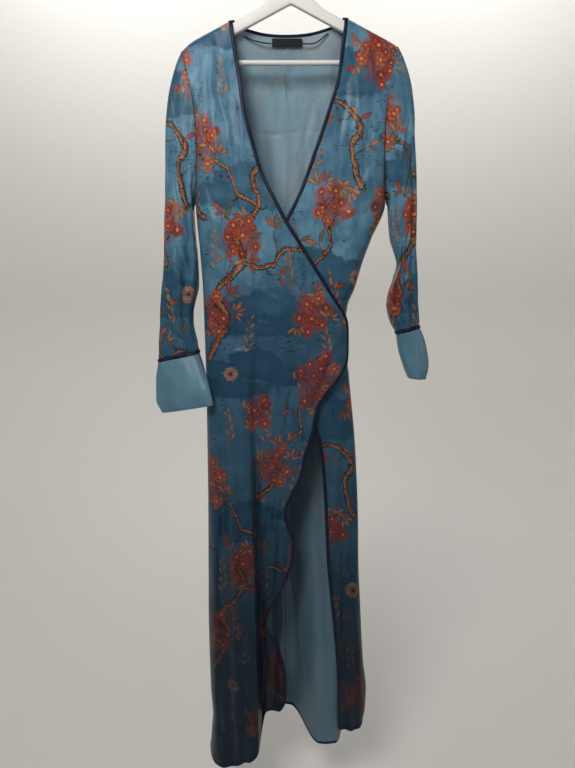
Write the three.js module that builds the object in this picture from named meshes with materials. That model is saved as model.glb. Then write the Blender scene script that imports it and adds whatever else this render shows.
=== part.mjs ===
// Long wrap kimono robe hanging on a plain hanger. Millimetres, +Z up, front facing -Y, +X to the viewer's right.
// The origin is the seat of the hanger's hook: the point of its inner top that the rail bears on.
// Sides are the wearer's: the right front (viewer's left) laps over the left front.
import * as THREE from "three";

// ---------------------------------------------------------------- named sizes
const WALL = 1.3; // cloth wall, satin with its seam allowances
const SEAM = 0.3; // half the gap at a seam
const PIPE_W = 5.2; // piping along the wrap edges
const HEM_W = 4.2; // binding along the hems
const PIPE_T = 0.7; // how far piping stands proud of each face of the cloth
const RIDGE_R = 9.5; // radius of the cloth over the hanger's arm
const SEAM_Y = -5; // the shoulder seam lies this far forward of the ridge
const ARM_SLOPE = 0.5; // fall of the hanger's arms
const RIDGE_Z = -43.5; // the ridge line's height where both arms would meet
const CENTRE_X = -8; // centre-back seam
const NECK = { left: { x: 93.5 }, right: { x: -102 } }; // where the neck meets the shoulder seam

// ---------------------------------------------------------------- small tools
const clamp = (v, a, b) => Math.min(b, Math.max(a, v));
const lerp = (a, b, t) => a + (b - a) * t;
const smooth = (t) => {
  const u = clamp(t, 0, 1);
  return u * u * (3 - 2 * u);
};
// Value at x in rows sorted by key, from the named column, by monotone cubic steps.
function col(rows, key, name) {
  const xs = rows.map((r) => r[key]),
    ys = rows.map((r) => r[name]),
    up = xs[xs.length - 1] > xs[0] ? 1 : -1,
    n = xs.length;
  const h = [],
    d = [],
    m = new Array(n).fill(0);
  for (let i = 0; i < n - 1; i++) {
    h.push((xs[i + 1] - xs[i]) * up);
    d.push((ys[i + 1] - ys[i]) / h[i]);
  }
  for (let i = 1; i < n - 1; i++)
    m[i] =
      d[i - 1] * d[i] <= 0
        ? 0
        : (3 * (h[i - 1] + h[i])) /
          ((2 * h[i] + h[i - 1]) / d[i - 1] + (h[i] + 2 * h[i - 1]) / d[i]);
  m[0] = d[0];
  m[n - 1] = d[n - 2];
  return (x) => {
    const q = x * up;
    if (q <= xs[0] * up) return ys[0];
    if (q >= xs[n - 1] * up) return ys[n - 1];
    let i = 0;
    while (q > xs[i + 1] * up) i++;
    const t = (q - xs[i] * up) / h[i],
      t2 = t * t,
      t3 = t2 * t;
    return (
      ys[i] * (2 * t3 - 3 * t2 + 1) +
      h[i] * m[i] * (t3 - 2 * t2 + t) +
      ys[i + 1] * (3 * t2 - 2 * t3) +
      h[i] * m[i + 1] * (t3 - t2)
    );
  };
}
const table = (names, ...rows) =>
  rows.map((r) => Object.fromEntries(names.map((n, i) => [n, r[i]])));

// ---------------------------------------------------------------- outlines of the body
// Side lines, from the shoulder tip down the armhole to the underarm, and down the side seam.
// x: place; yf, yb: depth of the line on the front and on the back (they meet below the underarm).
const SIDE_R = table(
  ["z", "x", "yf", "yb"],
  [-146, -190, -5, -5],
  [-150, -189, -8, 8],
  [-162, -186.5, -12, 12],
  [-190, -179, -19, 18],
  [-235, -170, -25, 23],
  [-290, -166.5, -26, 24],
  [-345, -167, -19, 18],
  [-385, -170, -9, 8],
  [-405, -172.3, -2, -2],
  [-485, -167, -2, -2],
  [-554, -163, -2, -2],
  [-621, -162, -2, -2],
  [-712, -160.6, -3, -3],
  [-804, -160.3, -5, -5],
  [-922, -160.4, -8, -8],
  [-1094, -162.5, -10, -10],
  [-1212, -163.7, -12, -12],
  [-1351, -162, -14, -14],
  [-1408, -159, -15, -15],
  [-1450, -162, -16, -16],
  [-1487, -165, -18, -18],
);
const SIDE_L = table(
  ["z", "x", "yf", "yb"],
  [-138, 186, -5, -5],
  [-142, 185, -8, 8],
  [-154, 183, -12, 12],
  [-182, 176, -19, 18],
  [-228, 168, -25, 23],
  [-285, 165, -26, 24],
  [-342, 166, -19, 18],
  [-382, 169.5, -9, 8],
  [-402, 171.4, -2, -2],
  [-467, 147, -2, -2],
  [-510, 131.5, -2, -2],
  [-554, 119, -2, -2],
  [-587, 106, -2, -2],
  [-632, 102, -2, -2],
  [-712, 110, -1, -1],
  [-782, 117.8, 0, 0],
  [-853, 124.8, 0, 0],
  [-999, 133.3, 0, 0],
  [-1100, 136.1, 0, 0],
  [-1177, 140.6, 0, 0],
  [-1310, 149.3, 0, 0],
  [-1373, 156.5, 0, 0],
  [-1412, 155.5, 0, 0],
  [-1446, 150.5, 0, 0],
);
// The wrap edge of the right front, from the neck point to its corner at the hem.
const EDGE_OVER = table(
  ["z", "x"],
  [-99.5, -102.2],
  [-147, -95.1],
  [-201, -86],
  [-252, -79],
  [-302, -65.5],
  [-353, -50.2],
  [-398, -27.7],
  [-440, -5.1],
  [-481, 21.3],
  [-523, 48.2],
  [-572, 79.6],
  [-600, 98],
  [-618, 106.5],
  [-650, 108],
  [-684, 107],
  [-706, 99],
  [-733, 81],
  [-755, 62.5],
  [-782, 50],
  [-810, 46],
  [-865, 30.5],
  [-913, 21],
  [-950, 3],
  [-976, -8],
  [-1000, -6.5],
  [-1047, 8.7],
  [-1085, 4.9],
  [-1152, -18],
  [-1205, -45],
  [-1226, -49],
  [-1260, -33.5],
  [-1313, -14.2],
  [-1360, -8],
  [-1396, -8],
  [-1427, -20],
);
// The wrap edge of the left front: it passes under the right front between z -430 and -815.
const EDGE_UNDER = table(
  ["z", "x"],
  [-95.8, 93.5],
  [-147.5, 86.6],
  [-199, 79.5],
  [-250, 64],
  [-301, 47],
  [-344, 31.5],
  [-385, 15.9],
  [-427, -5],
  [-470, -27],
  [-520, -55],
  [-570, -85],
  [-610, -104],
  [-640, -110],
  [-670, -108],
  [-700, -92],
  [-730, -62],
  [-760, -22],
  [-785, 14],
  [-812, 43],
  [-850, 55],
  [-935, 63.5],
  [-1092, 72.3],
  [-1212, 84.5],
  [-1317, 93.9],
  [-1400, 97],
  [-1447, 97.6],
);
// Depth of the cloth under the ridge, by the drop below it.
const DROP = table(
  ["d", "front", "back"],
  [0, 0, 0],
  [1.4, -5, 5],
  [4.5, -8, 8],
  [9.5, -9.5, 9.5],
  [22, -11, 15],
  [48, -15, 24],
  [100, -27, 33],
  [150, -36, 38],
  [200, -42, 41],
  [260, -46, 42],
  [330, -47, 42],
);
// Depth of the panels' middles further down. fold: where the right front steps back behind its long fold.
const DEPTH = table(
  ["z", "over", "over_in", "fold", "fold_w", "under", "back", "flute", "flute_x"],
  [-100, -44, -44, -146, 40, -40, 41, 0, 60],
  [-200, -44, -44, -134, 40, -40, 41, 0, 60],
  [-300, -44, -44, -118, 40, -40, 41, 0, 60],
  [-440, -49, -49, -95, 40, -42, 42, 0, 60],
  [-520, -48, -47, -84, 40, -38, 38, 0, 60],
  [-600, -46, -43, -78, 38, -31, 34, 0, 60],
  [-650, -44, -39, -75, 32, -28, 34, 0, 60],
  [-700, -44, -37, -73, 26, -27, 36, 0, 60],
  [-760, -46, -37, -72, 18, -27, 40, 0.02, 62],
  [-815, -49, -37, -71, 14, -27, 44, 0.06, 64],
  [-900, -53, -31, -70, 12, -26, 52, 0.2, 66],
  [-1000, -57, -24, -68, 11, -25, 60, 0.4, 68],
  [-1100, -61, -17, -66, 10, -25, 68, 0.58, 70],
  [-1200, -65, -11, -64, 10, -25, 76, 0.75, 72],
  [-1300, -69, -5, -62, 10, -25, 84, 0.88, 73],
  [-1425, -73, -1, -60, 9, -25, 92, 0.98, 74],
  [-1500, -75, 1, -59, 9, -25, 95, 1, 74],
);
const FLUTE_FRONT = -10; // how far forward the flute of the back comes at the hem
// Hems, by x.
const HEM_OVER = table(
  ["x", "z"],
  [-165, -1487],
  [-149, -1495],
  [-128, -1496],
  [-90, -1485],
  [-72, -1475],
  [-63, -1460],
  [-57, -1436],
  [-48, -1426],
  [-20, -1427],
);
const HEM_UNDER = table(
  ["x", "z"],
  [97.6, -1447],
  [114, -1452],
  [131, -1456],
  [143, -1453],
  [150.5, -1446],
);
const HEM_BACK = table(
  ["x", "z"],
  [-165, -1487],
  [-120, -1490],
  [-60, -1484],
  [-15, -1476],
  [26, -1486],
  [50, -1491],
  [73, -1494],
  [98, -1490],
  [118, -1480],
  [136, -1464],
  [150.5, -1446],
);
// Small lengthwise folds of each panel: a trough (amp > 0 goes inward) from z0 down to z1.
const FOLDS = {
  over: table(
    ["x0", "z0", "x1", "z1", "w", "amp"],
    [-128, -620, -118, -1500, 13, 9],
    [-98, -700, -92, -1500, 10, 7],
    [-150, -430, -140, -1200, 9, 5],
    [20, -560, -20, -900, 16, 6],
    [-20, -640, -36, -1430, 9, 6],
    [-120, -210, -96, -560, 13, 4],
  ),
  under: table(
    ["x0", "z0", "x1", "z1", "w", "amp"],
    [92, -760, 112, -1450, 8, 5],
    [120, -860, 134, -1450, 7, 5],
    [130, -180, 60, -560, 13, 4],
  ),
  back: table(
    ["x0", "z0", "x1", "z1", "w", "amp"],
    [-128, -620, -132, -1490, 14, -14],
    [-84, -480, -88, -1490, 14, -16],
    [-42, -700, -40, -1480, 12, -12],
    [118, -820, 128, -1470, 9, -12],
    [70, -300, 60, -700, 14, -7],
  ),
};

const fn = (rows, key, ...names) =>
  Object.fromEntries(names.map((n) => [n, col(rows, key, n)]));
const sideR = fn(SIDE_R, "z", "x", "yf", "yb"),
  sideL = fn(SIDE_L, "z", "x", "yf", "yb"),
  drop = fn(DROP, "d", "front", "back"),
  depth = fn(DEPTH, "z", "over", "over_in", "fold", "fold_w", "under", "back", "flute", "flute_x");
const edgeOver = col(EDGE_OVER, "z", "x"),
  edgeUnder = col(EDGE_UNDER, "z", "x"),
  hemOver = col(HEM_OVER, "x", "z"),
  hemUnder = col(HEM_UNDER, "x", "z"),
  hemBack = col(HEM_BACK, "x", "z");

// The ridge that the shoulders hang on; it rolls off over the hanger's ends.
function ridge(x) {
  const a = Math.abs(x),
    e = Math.max(0, a - 165);
  return RIDGE_Z - ARM_SLOPE * a - (x < 0 ? 0.011 : 0.004) * e * e;
}
const NECK_LOW = -107; // the back neckline's lowest point
const NECK_Z = { right: ridge(NECK.right.x), left: ridge(NECK.left.x) };
const bulge = (u) => Math.sqrt(1 - (1 - clamp(u, 0, 1)) ** 2);
function troughs(list, x, z) {
  let s = 0;
  for (const f of list) {
    const t = (f.z0 - z) / (f.z0 - f.z1);
    if (t <= 0 || t > 1.3) continue;
    const fade = Math.sin(Math.min(1, t * 1.6) * (Math.PI / 2)),
      u = (x - lerp(f.x0, f.x1, t)) / f.w;
    s += f.amp * fade * Math.exp(-u * u);
  }
  return s;
}
// Outer faces of the fronts and of the back, as depth y at a place (x, z).
function frontY(kind, x, z) {
  const d = Math.max(0, ridge(x) - z),
    low = smooth((d - 220) / 90);
  let deep;
  if (kind === "over") {
    const k = smooth((x - depth.fold(z)) / depth.fold_w(z) + 0.5);
    deep = lerp(depth.over(z), depth.over_in(z), k);
  } else deep = depth.under(z);
  deep = lerp(drop.front(d) - (kind === "over" ? 1.5 : 0) * smooth(d / 60), deep, low);
  const xl = sideR.x(z),
    xr = sideL.x(z) + (kind === "over" ? 9 : 0),
    near = smooth(d / 30),
    gl = bulge((x - xl) / 44),
    gr = bulge((xr - x) / 40),
    left = kind === "over" || x < 0 ? sideR.yf(z) : sideL.yf(z),
    at = x < 0 ? left : sideL.yf(z);
  const mid = at + (deep - at) * Math.min(gl, gr),
    y = lerp(Math.min(deep, at), mid, near);
  return y + troughs(FOLDS[kind], x, z) * Math.min(gl, gr);
}
function backY(x, z) {
  const d = Math.max(0, ridge(x) - z),
    low = smooth((d - 220) / 90);
  let deep = depth.back(z);
  const k = depth.flute(z),
    fx = depth.flute_x(z),
    u = x - fx,
    shape = u < 0 ? smooth(1 + (u + 14) / 58) : smooth(1 - (u - 22) / 20);
  deep *= 1 - 0.5 * k * smooth(u / 20);
  deep = lerp(deep, lerp(deep, FLUTE_FRONT, k), shape);
  deep = lerp(drop.back(d), deep, low);
  const at = x < CENTRE_X ? sideR.yb(z) : sideL.yb(z),
    gl = bulge((x - sideR.x(z)) / 40),
    gr = bulge((sideL.x(z) - x) / 34),
    g = Math.min(gl, gr);
  const mid = at + (deep - at) * g,
    y = lerp(Math.max(deep, at), mid, smooth(d / 30));
  return y - troughs(FOLDS.back, x, z) * g * (1 - 0.8 * shape * k);
}

// ---------------------------------------------------------------- solids from grids
const V = (x, y, z) => new THREE.Vector3(x, y, z);
function geometry(points, faces) {
  const pos = [];
  let vol = 0;
  const ab = V(),
    ac = V();
  for (const [a, b, c] of faces) {
    const A = points[a],
      B = points[b],
      C = points[c];
    vol += A.dot(ab.copy(B).cross(ac.copy(C)));
  }
  for (const [a, b, c] of faces)
    for (const k of vol > 0 ? [a, b, c] : [a, c, b])
      pos.push(points[k].x, points[k].y, points[k].z);
  const g = new THREE.BufferGeometry();
  g.setAttribute("position", new THREE.Float32BufferAttribute(pos, 3));
  g.computeVertexNormals();
  return g;
}
// A wall of cloth: grid[i][j] is its outer face; wrap closes it round in j. The sign says which way is in.
function wall(grid, thick, inward, wrap = false, fix = (i, j, n) => n) {
  const R = grid.length,
    C = grid[0].length,
    pts = [];
  const at = (i, j) =>
    grid[clamp(i, 0, R - 1)][wrap ? (j + C) % C : clamp(j, 0, C - 1)];
  for (let i = 0; i < R; i++)
    for (let j = 0; j < C; j++) {
      const n = V()
        .subVectors(at(i + 1, j), at(i - 1, j))
        .cross(V().subVectors(at(i, j + 1), at(i, j - 1)));
      const m = fix(i, j, n.normalize().multiplyScalar(inward)).normalize();
      pts.push(grid[i][j].clone(), grid[i][j].clone().addScaledVector(m, thick));
    }
  const id = (i, j, s) => 2 * (i * C + ((j + C) % C)) + s,
    faces = [];
  const quad = (a, b, c, d) => {
    // split along the shorter diagonal
    if (pts[a].distanceToSquared(pts[c]) <= pts[b].distanceToSquared(pts[d]))
      faces.push([a, b, c], [a, c, d]);
    else faces.push([a, b, d], [b, c, d]);
  };
  const J = wrap ? C : C - 1;
  for (let i = 0; i < R - 1; i++)
    for (let j = 0; j < J; j++) {
      quad(id(i, j, 0), id(i, j + 1, 0), id(i + 1, j + 1, 0), id(i + 1, j, 0));
      quad(id(i, j, 1), id(i + 1, j, 1), id(i + 1, j + 1, 1), id(i, j + 1, 1));
    }
  for (let j = 0; j < J; j++) {
    quad(id(0, j, 0), id(0, j, 1), id(0, j + 1, 1), id(0, j + 1, 0));
    quad(id(R - 1, j, 0), id(R - 1, j + 1, 0), id(R - 1, j + 1, 1), id(R - 1, j, 1));
  }
  if (!wrap)
    for (let i = 0; i < R - 1; i++) {
      quad(id(i, 0, 0), id(i + 1, 0, 0), id(i + 1, 0, 1), id(i, 0, 1));
      quad(id(i, C - 1, 0), id(i, C - 1, 1), id(i + 1, C - 1, 1), id(i + 1, C - 1, 0));
    }
  return geometry(pts, faces);
}
// A band along an edge: inner[k] and outer[k] are its two long sides on the cloth's outer face, n[k] points out of it.
function band(inner, outer, n, wrap = false) {
  const pts = [],
    faces = [],
    K = inner.length,
    up = PIPE_T,
    down = WALL + PIPE_T;
  for (let k = 0; k < K; k++)
    pts.push(
      inner[k].clone().addScaledVector(n[k], up),
      outer[k].clone().addScaledVector(n[k], up),
      outer[k].clone().addScaledVector(n[k], -down),
      inner[k].clone().addScaledVector(n[k], -down),
    );
  for (let k = 0; k < (wrap ? K : K - 1); k++)
    for (let s = 0; s < 4; s++) {
      const t = (s + 1) % 4,
        a = 4 * k,
        b = 4 * ((k + 1) % K);
      faces.push([a + s, b + s, b + t], [a + s, b + t, a + t]);
    }
  if (!wrap) {
    const e = 4 * (K - 1);
    faces.push([0, 1, 2], [0, 2, 3], [e, e + 2, e + 1], [e, e + 3, e + 2]);
  }
  return geometry(pts, faces);
}

// ---------------------------------------------------------------- rows that the panels share
const ARM_ROWS = [0, 0.016, 0.06, 0.15, 0.31, 0.5, 0.7, 0.87, 1]; // tip to underarm
const LOW_ROWS = [
  -440, -480, -520, -555, -588, -615, -640, -665, -690, -715, -745, -780, -815,
  -860, -905, -950, -990, -1040, -1090, -1145, -1200, -1245, -1295, -1350, -1400,
];
function rowsOf(side) {
  const tip = side[0].z,
    arm = side[8].z;
  return [...ARM_ROWS.map((t) => lerp(tip, arm, t)), ...LOW_ROWS];
}
const FRONT_DROPS = [1.4, 5, 12, 30, 62]; // first rows below the ridge, the same in each column

// Height of row i in a column whose top is at zt and whose side row is at zs.
function rowZ(rows, i, top, count) {
  if (i === 0) return top;
  const tip = rows[0],
    k = Math.pow(clamp(1 - i / count, 0, 1), 0.9);
  return rows[i] + (top - tip) * k;
}
const ROW_FADE = 13;

function frontPanel(kind) {
  const over = kind === "over",
    side = over ? sideR : sideL,
    SIDE = over ? SIDE_R : SIDE_L,
    edge = over ? edgeOver : edgeUnder,
    EDGE = over ? EDGE_OVER : EDGE_UNDER,
    rows = rowsOf(SIDE),
    hem = over ? hemOver : hemUnder,
    sign = over ? 1 : -1,
    neckZ = over ? NECK_Z.right : NECK_Z.left,
    tipX = SIDE[0].x,
    neckX = over ? NECK.right.x : NECK.left.x,
    hemSide = SIDE[SIDE.length - 1].z,
    hemEdge = EDGE[EDGE.length - 1].z,
    n = rows.length;
  // columns, as shares of the way from the side to the fold's line and on to the edge
  const toFold = [0, 0.06, 0.16, 0.32, 0.5, 0.68, 0.84, 0.94],
    onward = [0, 0.12, 0.26, 0.48, 0.72, 0.9, 1],
    plain = [0, 0.07, 0.17, 0.3, 0.44, 0.58, 0.71, 0.83, 0.93, 1];
  // the cloth stops short of its edge by the binding's width
  const shortOf = (z) => edge(z) - sign * (PIPE_W + 0.5) * Math.hypot(1, (edge(z - 4) - edge(z + 4)) / 8);
  const xAt = (c, z) => {
    const xs = side.x(z),
      xe = shortOf(z);
    if (!over) return lerp(xs, xe, c);
    const xf = clamp(depth.fold(z) + depth.fold_w(z) * 0.15, xs + 20, xe - 12);
    return c < 1 ? lerp(xs, xf, c) : lerp(xf, xe, c - 1);
  };
  const cols = over ? [...toFold, ...onward.map((v) => 1 + v)] : plain;
  const last = over ? 2 : 1;
  const grid = [],
    E = [],
    H = [];
  const out2 = (z) => {
    // the edge's outward direction in the view from the front
    const s = (edge(z - 4) - edge(z + 4)) / 8,
      l = Math.hypot(1, s);
    return [sign / l, (sign * s) / l];
  };
  for (let i = 0; i <= n; i++) {
    const line = [];
    cols.forEach((c, j) => {
      let x, z;
      let topX = lerp(tipX, neckX, c / last);
      for (let k = 0; k < 4; k++) topX = xAt(c, ridge(topX) - 1.4);
      if (j === 0) topX = tipX;
      if (c === last) topX = neckX;
      const top = ridge(topX) - 1.4;
      if (i < n) {
        z = rowZ(rows, i, top, ROW_FADE);
        if (i > 0 && i < 4 && j > 0) z = Math.min(z, top - FRONT_DROPS[i]);
        if (j === 0 && i > 0) z = rows[i];
        if (over && i >= n - 6) {
          // rows near the hem follow its rise towards the wrap edge
          const k = (i - (n - 7)) / 7;
          z = z + (hem(xAt(c, -1430)) - hemSide) * k * 0.9;
        }
        x = i === 0 ? topX : xAt(c, z);
      } else {
        x = xAt(c, over ? -1440 : -1446);
        z = hem(x);
      }
      if (c === last && i < n) {
        const z0 = i === 0 ? neckZ - 1.4 : z,
          [ex, ez] = out2(z0),
          w = PIPE_W + 0.5,
          p = i === 0 ? V(neckX, 0, z0) : V(x + ex * w, 0, z + ez * w);
        p.y = frontY(kind, p.x, p.z);
        E.push(p);
        if (i === 0) {
          x = neckX - ex * w;
          z = ridge(x) - 1.4;
        }
      }
      if (i === n) {
        const hx = c === last ? edge(over ? -1440 : -1446) : x,
          hz = hem(hx);
        H.push(V(hx, frontY(kind, hx, hz), hz));
        z += HEM_W + 0.5;
      }
      let y = frontY(kind, x, z);
      if (j === 0) y = side.yf(z) - SEAM;
      if (i === 0) y = SEAM_Y - SEAM;
      line.push(V(x, y, z));
    });
    grid.push(line);
  }
  const fix = (i, j, m) => {
    if (i === 0) return V(0, -SEAM_Y, -Math.sqrt(RIDGE_R ** 2 - SEAM_Y ** 2));
    if (j === 0 && i >= 8) return V(sign, 0, 0);
    if (j === 0) return m.setX(0);
    return m;
  };
  const C = cols.length - 1;
  const mesh = wall(grid, WALL, over ? -1 : 1, false, fix);
  // binding: down the wrap edge, round the corner, along the hem to the side seam
  const inner = [],
    outer = [],
    norm = [];
  const normalAt = (i, j) => {
    const g = (a, b) => grid[clamp(a, 0, n)][clamp(b, 0, C)];
    return V()
      .subVectors(g(i + 1, j), g(i - 1, j))
      .cross(V().subVectors(g(i, j + 1), g(i, j - 1)))
      .normalize()
      .multiplyScalar(over ? 1 : -1);
  };
  for (let i = 0; i < n; i++) {
    const b = grid[i][C],
      e = V().subVectors(E[i], b).normalize();
    inner.push(b.clone().addScaledVector(e, i > 28 ? 1.5 : 0.4));
    outer.push(E[i].clone());
    norm.push(i === 0 ? V(0, -0.55, 0.83) : normalAt(i, C));
  }
  outer[0].y = SEAM_Y - SEAM;
  inner[0].y = SEAM_Y - SEAM;
  // the corner itself
  {
    const b = grid[n][C],
      c = H[C],
      e = V().subVectors(c, b).normalize();
    inner.push(b.clone().addScaledVector(e, 0.5));
    outer.push(c.clone().addScaledVector(e, -1.6));
    norm.push(normalAt(n, C));
  }
  for (let j = C - 1; j >= 0; j--) {
    const b = grid[n][j],
      e = V().subVectors(H[j], b).normalize();
    inner.push(b.clone().addScaledVector(e, over && j > 4 ? 2.1 : 0.4));
    outer.push(H[j].clone());
    norm.push(j === 0 ? V(-sign, 0, 0) : normalAt(n, j));
  }
  const k = inner.length - 1;
  inner[k].y = Math.min(inner[k].y, side.yf(hemSide) - SEAM - 0.4);
  outer[k].y = inner[k].y;
  return { mesh, piping: band(inner, outer, norm), grid };
}

function backPanel(which) {
  const right = which === "right", // the wearer's right, at the viewer's left
    side = right ? sideR : sideL,
    SIDE = right ? SIDE_R : SIDE_L,
    rows = rowsOf(SIDE).filter((z, i) => i <= 8 || i % 2 === 0 || i > 28),
    sign = right ? 1 : -1,
    neckX = right ? NECK.right.x : NECK.left.x,
    neckZ = right ? NECK_Z.right : NECK_Z.left,
    tipX = SIDE[0].x,
    cx = CENTRE_X - sign * SEAM,
    n = rows.length;
  const cols = right
    ? [0, 0.08, 0.2, 0.35, 0.46, 0.47, 0.479, 0.49, 0.57, 0.69, 0.84, 1]
    : [0, 0.08, 0.19, 0.28, 0.37, 0.47, 0.479, 0.488, 0.498, 0.58, 0.7, 0.84, 1];
  const s0 = right ? cols.indexOf(0.46) : cols.indexOf(0.47);
  const grid = [],
    N = [],
    H = [];
  const extra = 2; // rows over the ridge
  for (let i = -extra; i <= n; i++) {
    const line = [];
    cols.forEach((c, j) => {
      const onNeck = j > s0,
        t = onNeck ? (c - cols[s0]) / (1 - cols[s0]) : 0,
        topX = onNeck ? lerp(neckX, cx, t) : lerp(tipX, neckX, c / cols[s0]);
      // the neckline crosses the ridge at the neck point and dips behind it
      const neckTop = onNeck ? lerp(neckZ, NECK_LOW, Math.sin((t * Math.PI) / 2) ** 0.8) : ridge(topX),
        a0 = lerp(-0.52, 1.15, clamp(t / 0.055, 0, 1)),
        a2 = Math.max(a0 + 0.24, 0.58),
        stand = 11 * smooth((t - 0.05) * 1.6);
      const arc = (k) => {
        const a = lerp(a0, a2, k / 2);
        return [RIDGE_R * Math.sin(a) + stand, neckTop - RIDGE_R * (1 - Math.cos(a))];
      };
      let x, y, z;
      if (i <= 0) {
        x = topX;
        [y, z] = arc(i + extra);
        if (i === -extra && !onNeck) y = SEAM_Y + SEAM;
      } else if (i < n) {
        const top = arc(2)[1];
        z = rowZ(rows, i, top, ROW_FADE - 2);
        if (i < 4) z = Math.min(z, top - [0, 4, 12, 30][i]);
        if (j === 0) z = rows[i];
        const w = clamp(1 - (top - z) / 120, 0, 1);
        x = lerp(lerp(side.x(z), cx, c), topX, j === 0 ? 0 : w * w);
        y = backY(x, z);
        if (onNeck) {
          const k = smooth((top - z) / 80);
          y = lerp(Math.max(RIDGE_R, arc(2)[0]) + (top - z) * 0.12, y, k);
        }
      } else {
        x = lerp(side.x(-1470), cx, c);
        z = hemBack(x);
        H.push(V(x, backY(x, z), z));
        z += HEM_W + 0.5;
        y = backY(x, z);
      }
      if (j === 0 && i > 0) y = side.yb(z) + SEAM;
      const p = V(x, y, z);
      if (i === -extra && onNeck) N.push(p);
      line.push(p);
    });
    grid.push(line);
  }
  const C = cols.length - 1,
    R = grid.length - 1;
  const fix = (i, j, m) => {
    if (i === 0 && j <= s0) return V(0, -SEAM_Y, -Math.sqrt(RIDGE_R ** 2 - SEAM_Y ** 2));
    if (j === 0 && i >= 8 + extra) return V(sign, 0, 0);
    if (j === 0 || j === C) return m.setX(0);
    return m;
  };
  const mesh = wall(grid, WALL, right ? 1 : -1, false, fix);
  const inner = [],
    outer = [],
    norm = [];
  const normalAt = (i, j) => {
    const g = (a, b) => grid[clamp(a, 0, R)][clamp(b, 0, C)];
    return V()
      .subVectors(g(i + 1, j), g(i - 1, j))
      .cross(V().subVectors(g(i, j + 1), g(i, j - 1)))
      .normalize()
      .multiplyScalar(right ? -1 : 1);
  };
  for (let j = 0; j <= C; j++) {
    const b = grid[R][j],
      e = V().subVectors(H[j], b).normalize();
    inner.push(b.clone().addScaledVector(e, 1.9));
    outer.push(H[j].clone());
    const m = normalAt(R, j);
    norm.push(j === 0 ? V(-sign, 0, 0) : j === C ? m.setX(0).normalize() : m);
  }
  inner[0].y = Math.max(inner[0].y, side.yb(-1487) + SEAM + 0.4);
  outer[0].y = inner[0].y;
  return { mesh, hem: band(inner, outer, norm), grid, neck: grid[0].slice(s0), neck2: grid[1].slice(s0) };
}

// ---------------------------------------------------------------- sleeves and cuffs
// Rings down the sleeve: ox, oz, oy its outer edge, ix, iz, iy its inner edge, df, db its depth before and behind them.
const RINGS = ["ox", "oz", "ix", "iz", "df", "db", "oy", "iy"];
const SLEEVE_R = table(
  RINGS,
  [-190, -146, -172.3, -405, 26, 24, 0, 0],
  [-204, -163, -173.5, -421, 27, 25, 0, 0],
  [-214, -190, -172.5, -446, 27, 26, 0, 0],
  [-219.5, -222, -171.5, -474, 27, 26, 0, 0],
  [-222, -265, -170.8, -502, 27, 27, 0, 0],
  [-225, -315, -170.5, -528, 27, 27, 0, 0],
  [-227, -365, -171, -549, 26, 27, 0, 0],
  [-229, -415, -175, -566, 26, 26, 0, 0],
  [-232, -465, -180, -583, 25, 26, 0, 0],
  [-235, -515, -183, -601, 24, 25, 0, 0],
  [-239, -560, -182.5, -619, 23, 24, 0, 0],
  [-243, -605, -179, -636, 22, 22, 0, -2],
  [-246.5, -648, -174, -653, 20, 20, -2, -5],
  [-249, -686, -171.5, -668, 18, 18, -4, -8],
);
const SLEEVE_L = table(
  RINGS,
  [186, -138, 171.4, -402, 26, 24, 0, 0],
  [199, -154, 172.6, -416, 27, 25, 0, 0],
  [208.5, -178, 174.5, -433, 27, 26, 0, 0],
  [214, -205, 178, -452, 27, 26, 0, 0],
  [218, -240, 183, -470, 27, 27, 0, 0],
  [221, -285, 189, -488, 27, 27, 0, 0],
  [224, -330, 194, -503, 26, 27, 0, 0],
  [226.5, -375, 196.5, -518, 26, 26, 0, 0],
  [228, -420, 193, -535, 26, 26, 0, 0],
  [230, -465, 187, -552, 25, 25, 0, 0],
  [232, -508, 181.5, -568, 25, 25, 0, 0],
  [235, -550, 180, -585, 24, 24, 0, 0],
  [238, -592, 185, -608, 22, 22, 0, 0],
  [240.5, -622, 196, -634, 20, 20, 0, 0],
);
const CUFF_R = table(
  RINGS,
  [-250, -692.5, -170.5, -674.5, 17, 17, -4, -9],
  [-254.5, -728, -157, -712, 15, 15, -7, -32],
  [-255, -762, -147, -741, 14, 14, -9, -47],
  [-245, -788, -141, -765, 14, 14, -10, -52],
);
const CUFF_L = table(
  RINGS,
  [242, -628, 198.5, -640.5, 20, 20, 0, 0],
  [252, -655, 204, -670, 21, 21, 0, 0],
  [260.5, -697, 213, -698, 22, 22, 0, 0],
  [256, -724, 224, -723, 22, 22, 0, 0],
);
// Lengthwise folds of the sleeves: at an angle round the sleeve, as a share of the ring's depth.
const SLEEVE_FOLDS = table(
  ["angle", "width", "depth"],
  [62, 16, 0.28],
  [118, 14, 0.34],
  [238, 18, 0.3],
  [292, 15, 0.25],
);
const AROUND = 16; // steps round a sleeve: eight on the front, eight on the back
function ring(r, j, strength, sgn) {
  const a = (j / AROUND) * 2 * Math.PI,
    c = Math.cos(a),
    s = Math.sin(a),
    pc = Math.sign(c) * Math.abs(c) ** 0.85,
    ps = Math.sign(s) * Math.abs(s) ** 0.8,
    deg = (a * 180) / Math.PI;
  let cut = 0;
  for (const f of SLEEVE_FOLDS) {
    const u = (deg - f.angle) / f.width;
    cut += f.depth * Math.exp(-u * u);
  }
  void sgn;
  const mx = (r.ox + r.ix) / 2,
    mz = (r.oz + r.iz) / 2;
  return V(
    mx + ((r.ox - r.ix) / 2) * pc,
    lerp(r.iy, r.oy, (pc + 1) / 2) - (s > 0 ? r.df : r.db) * ps * (1 - cut * strength),
    mz + ((r.oz - r.iz) / 2) * pc,
  );
}
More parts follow.
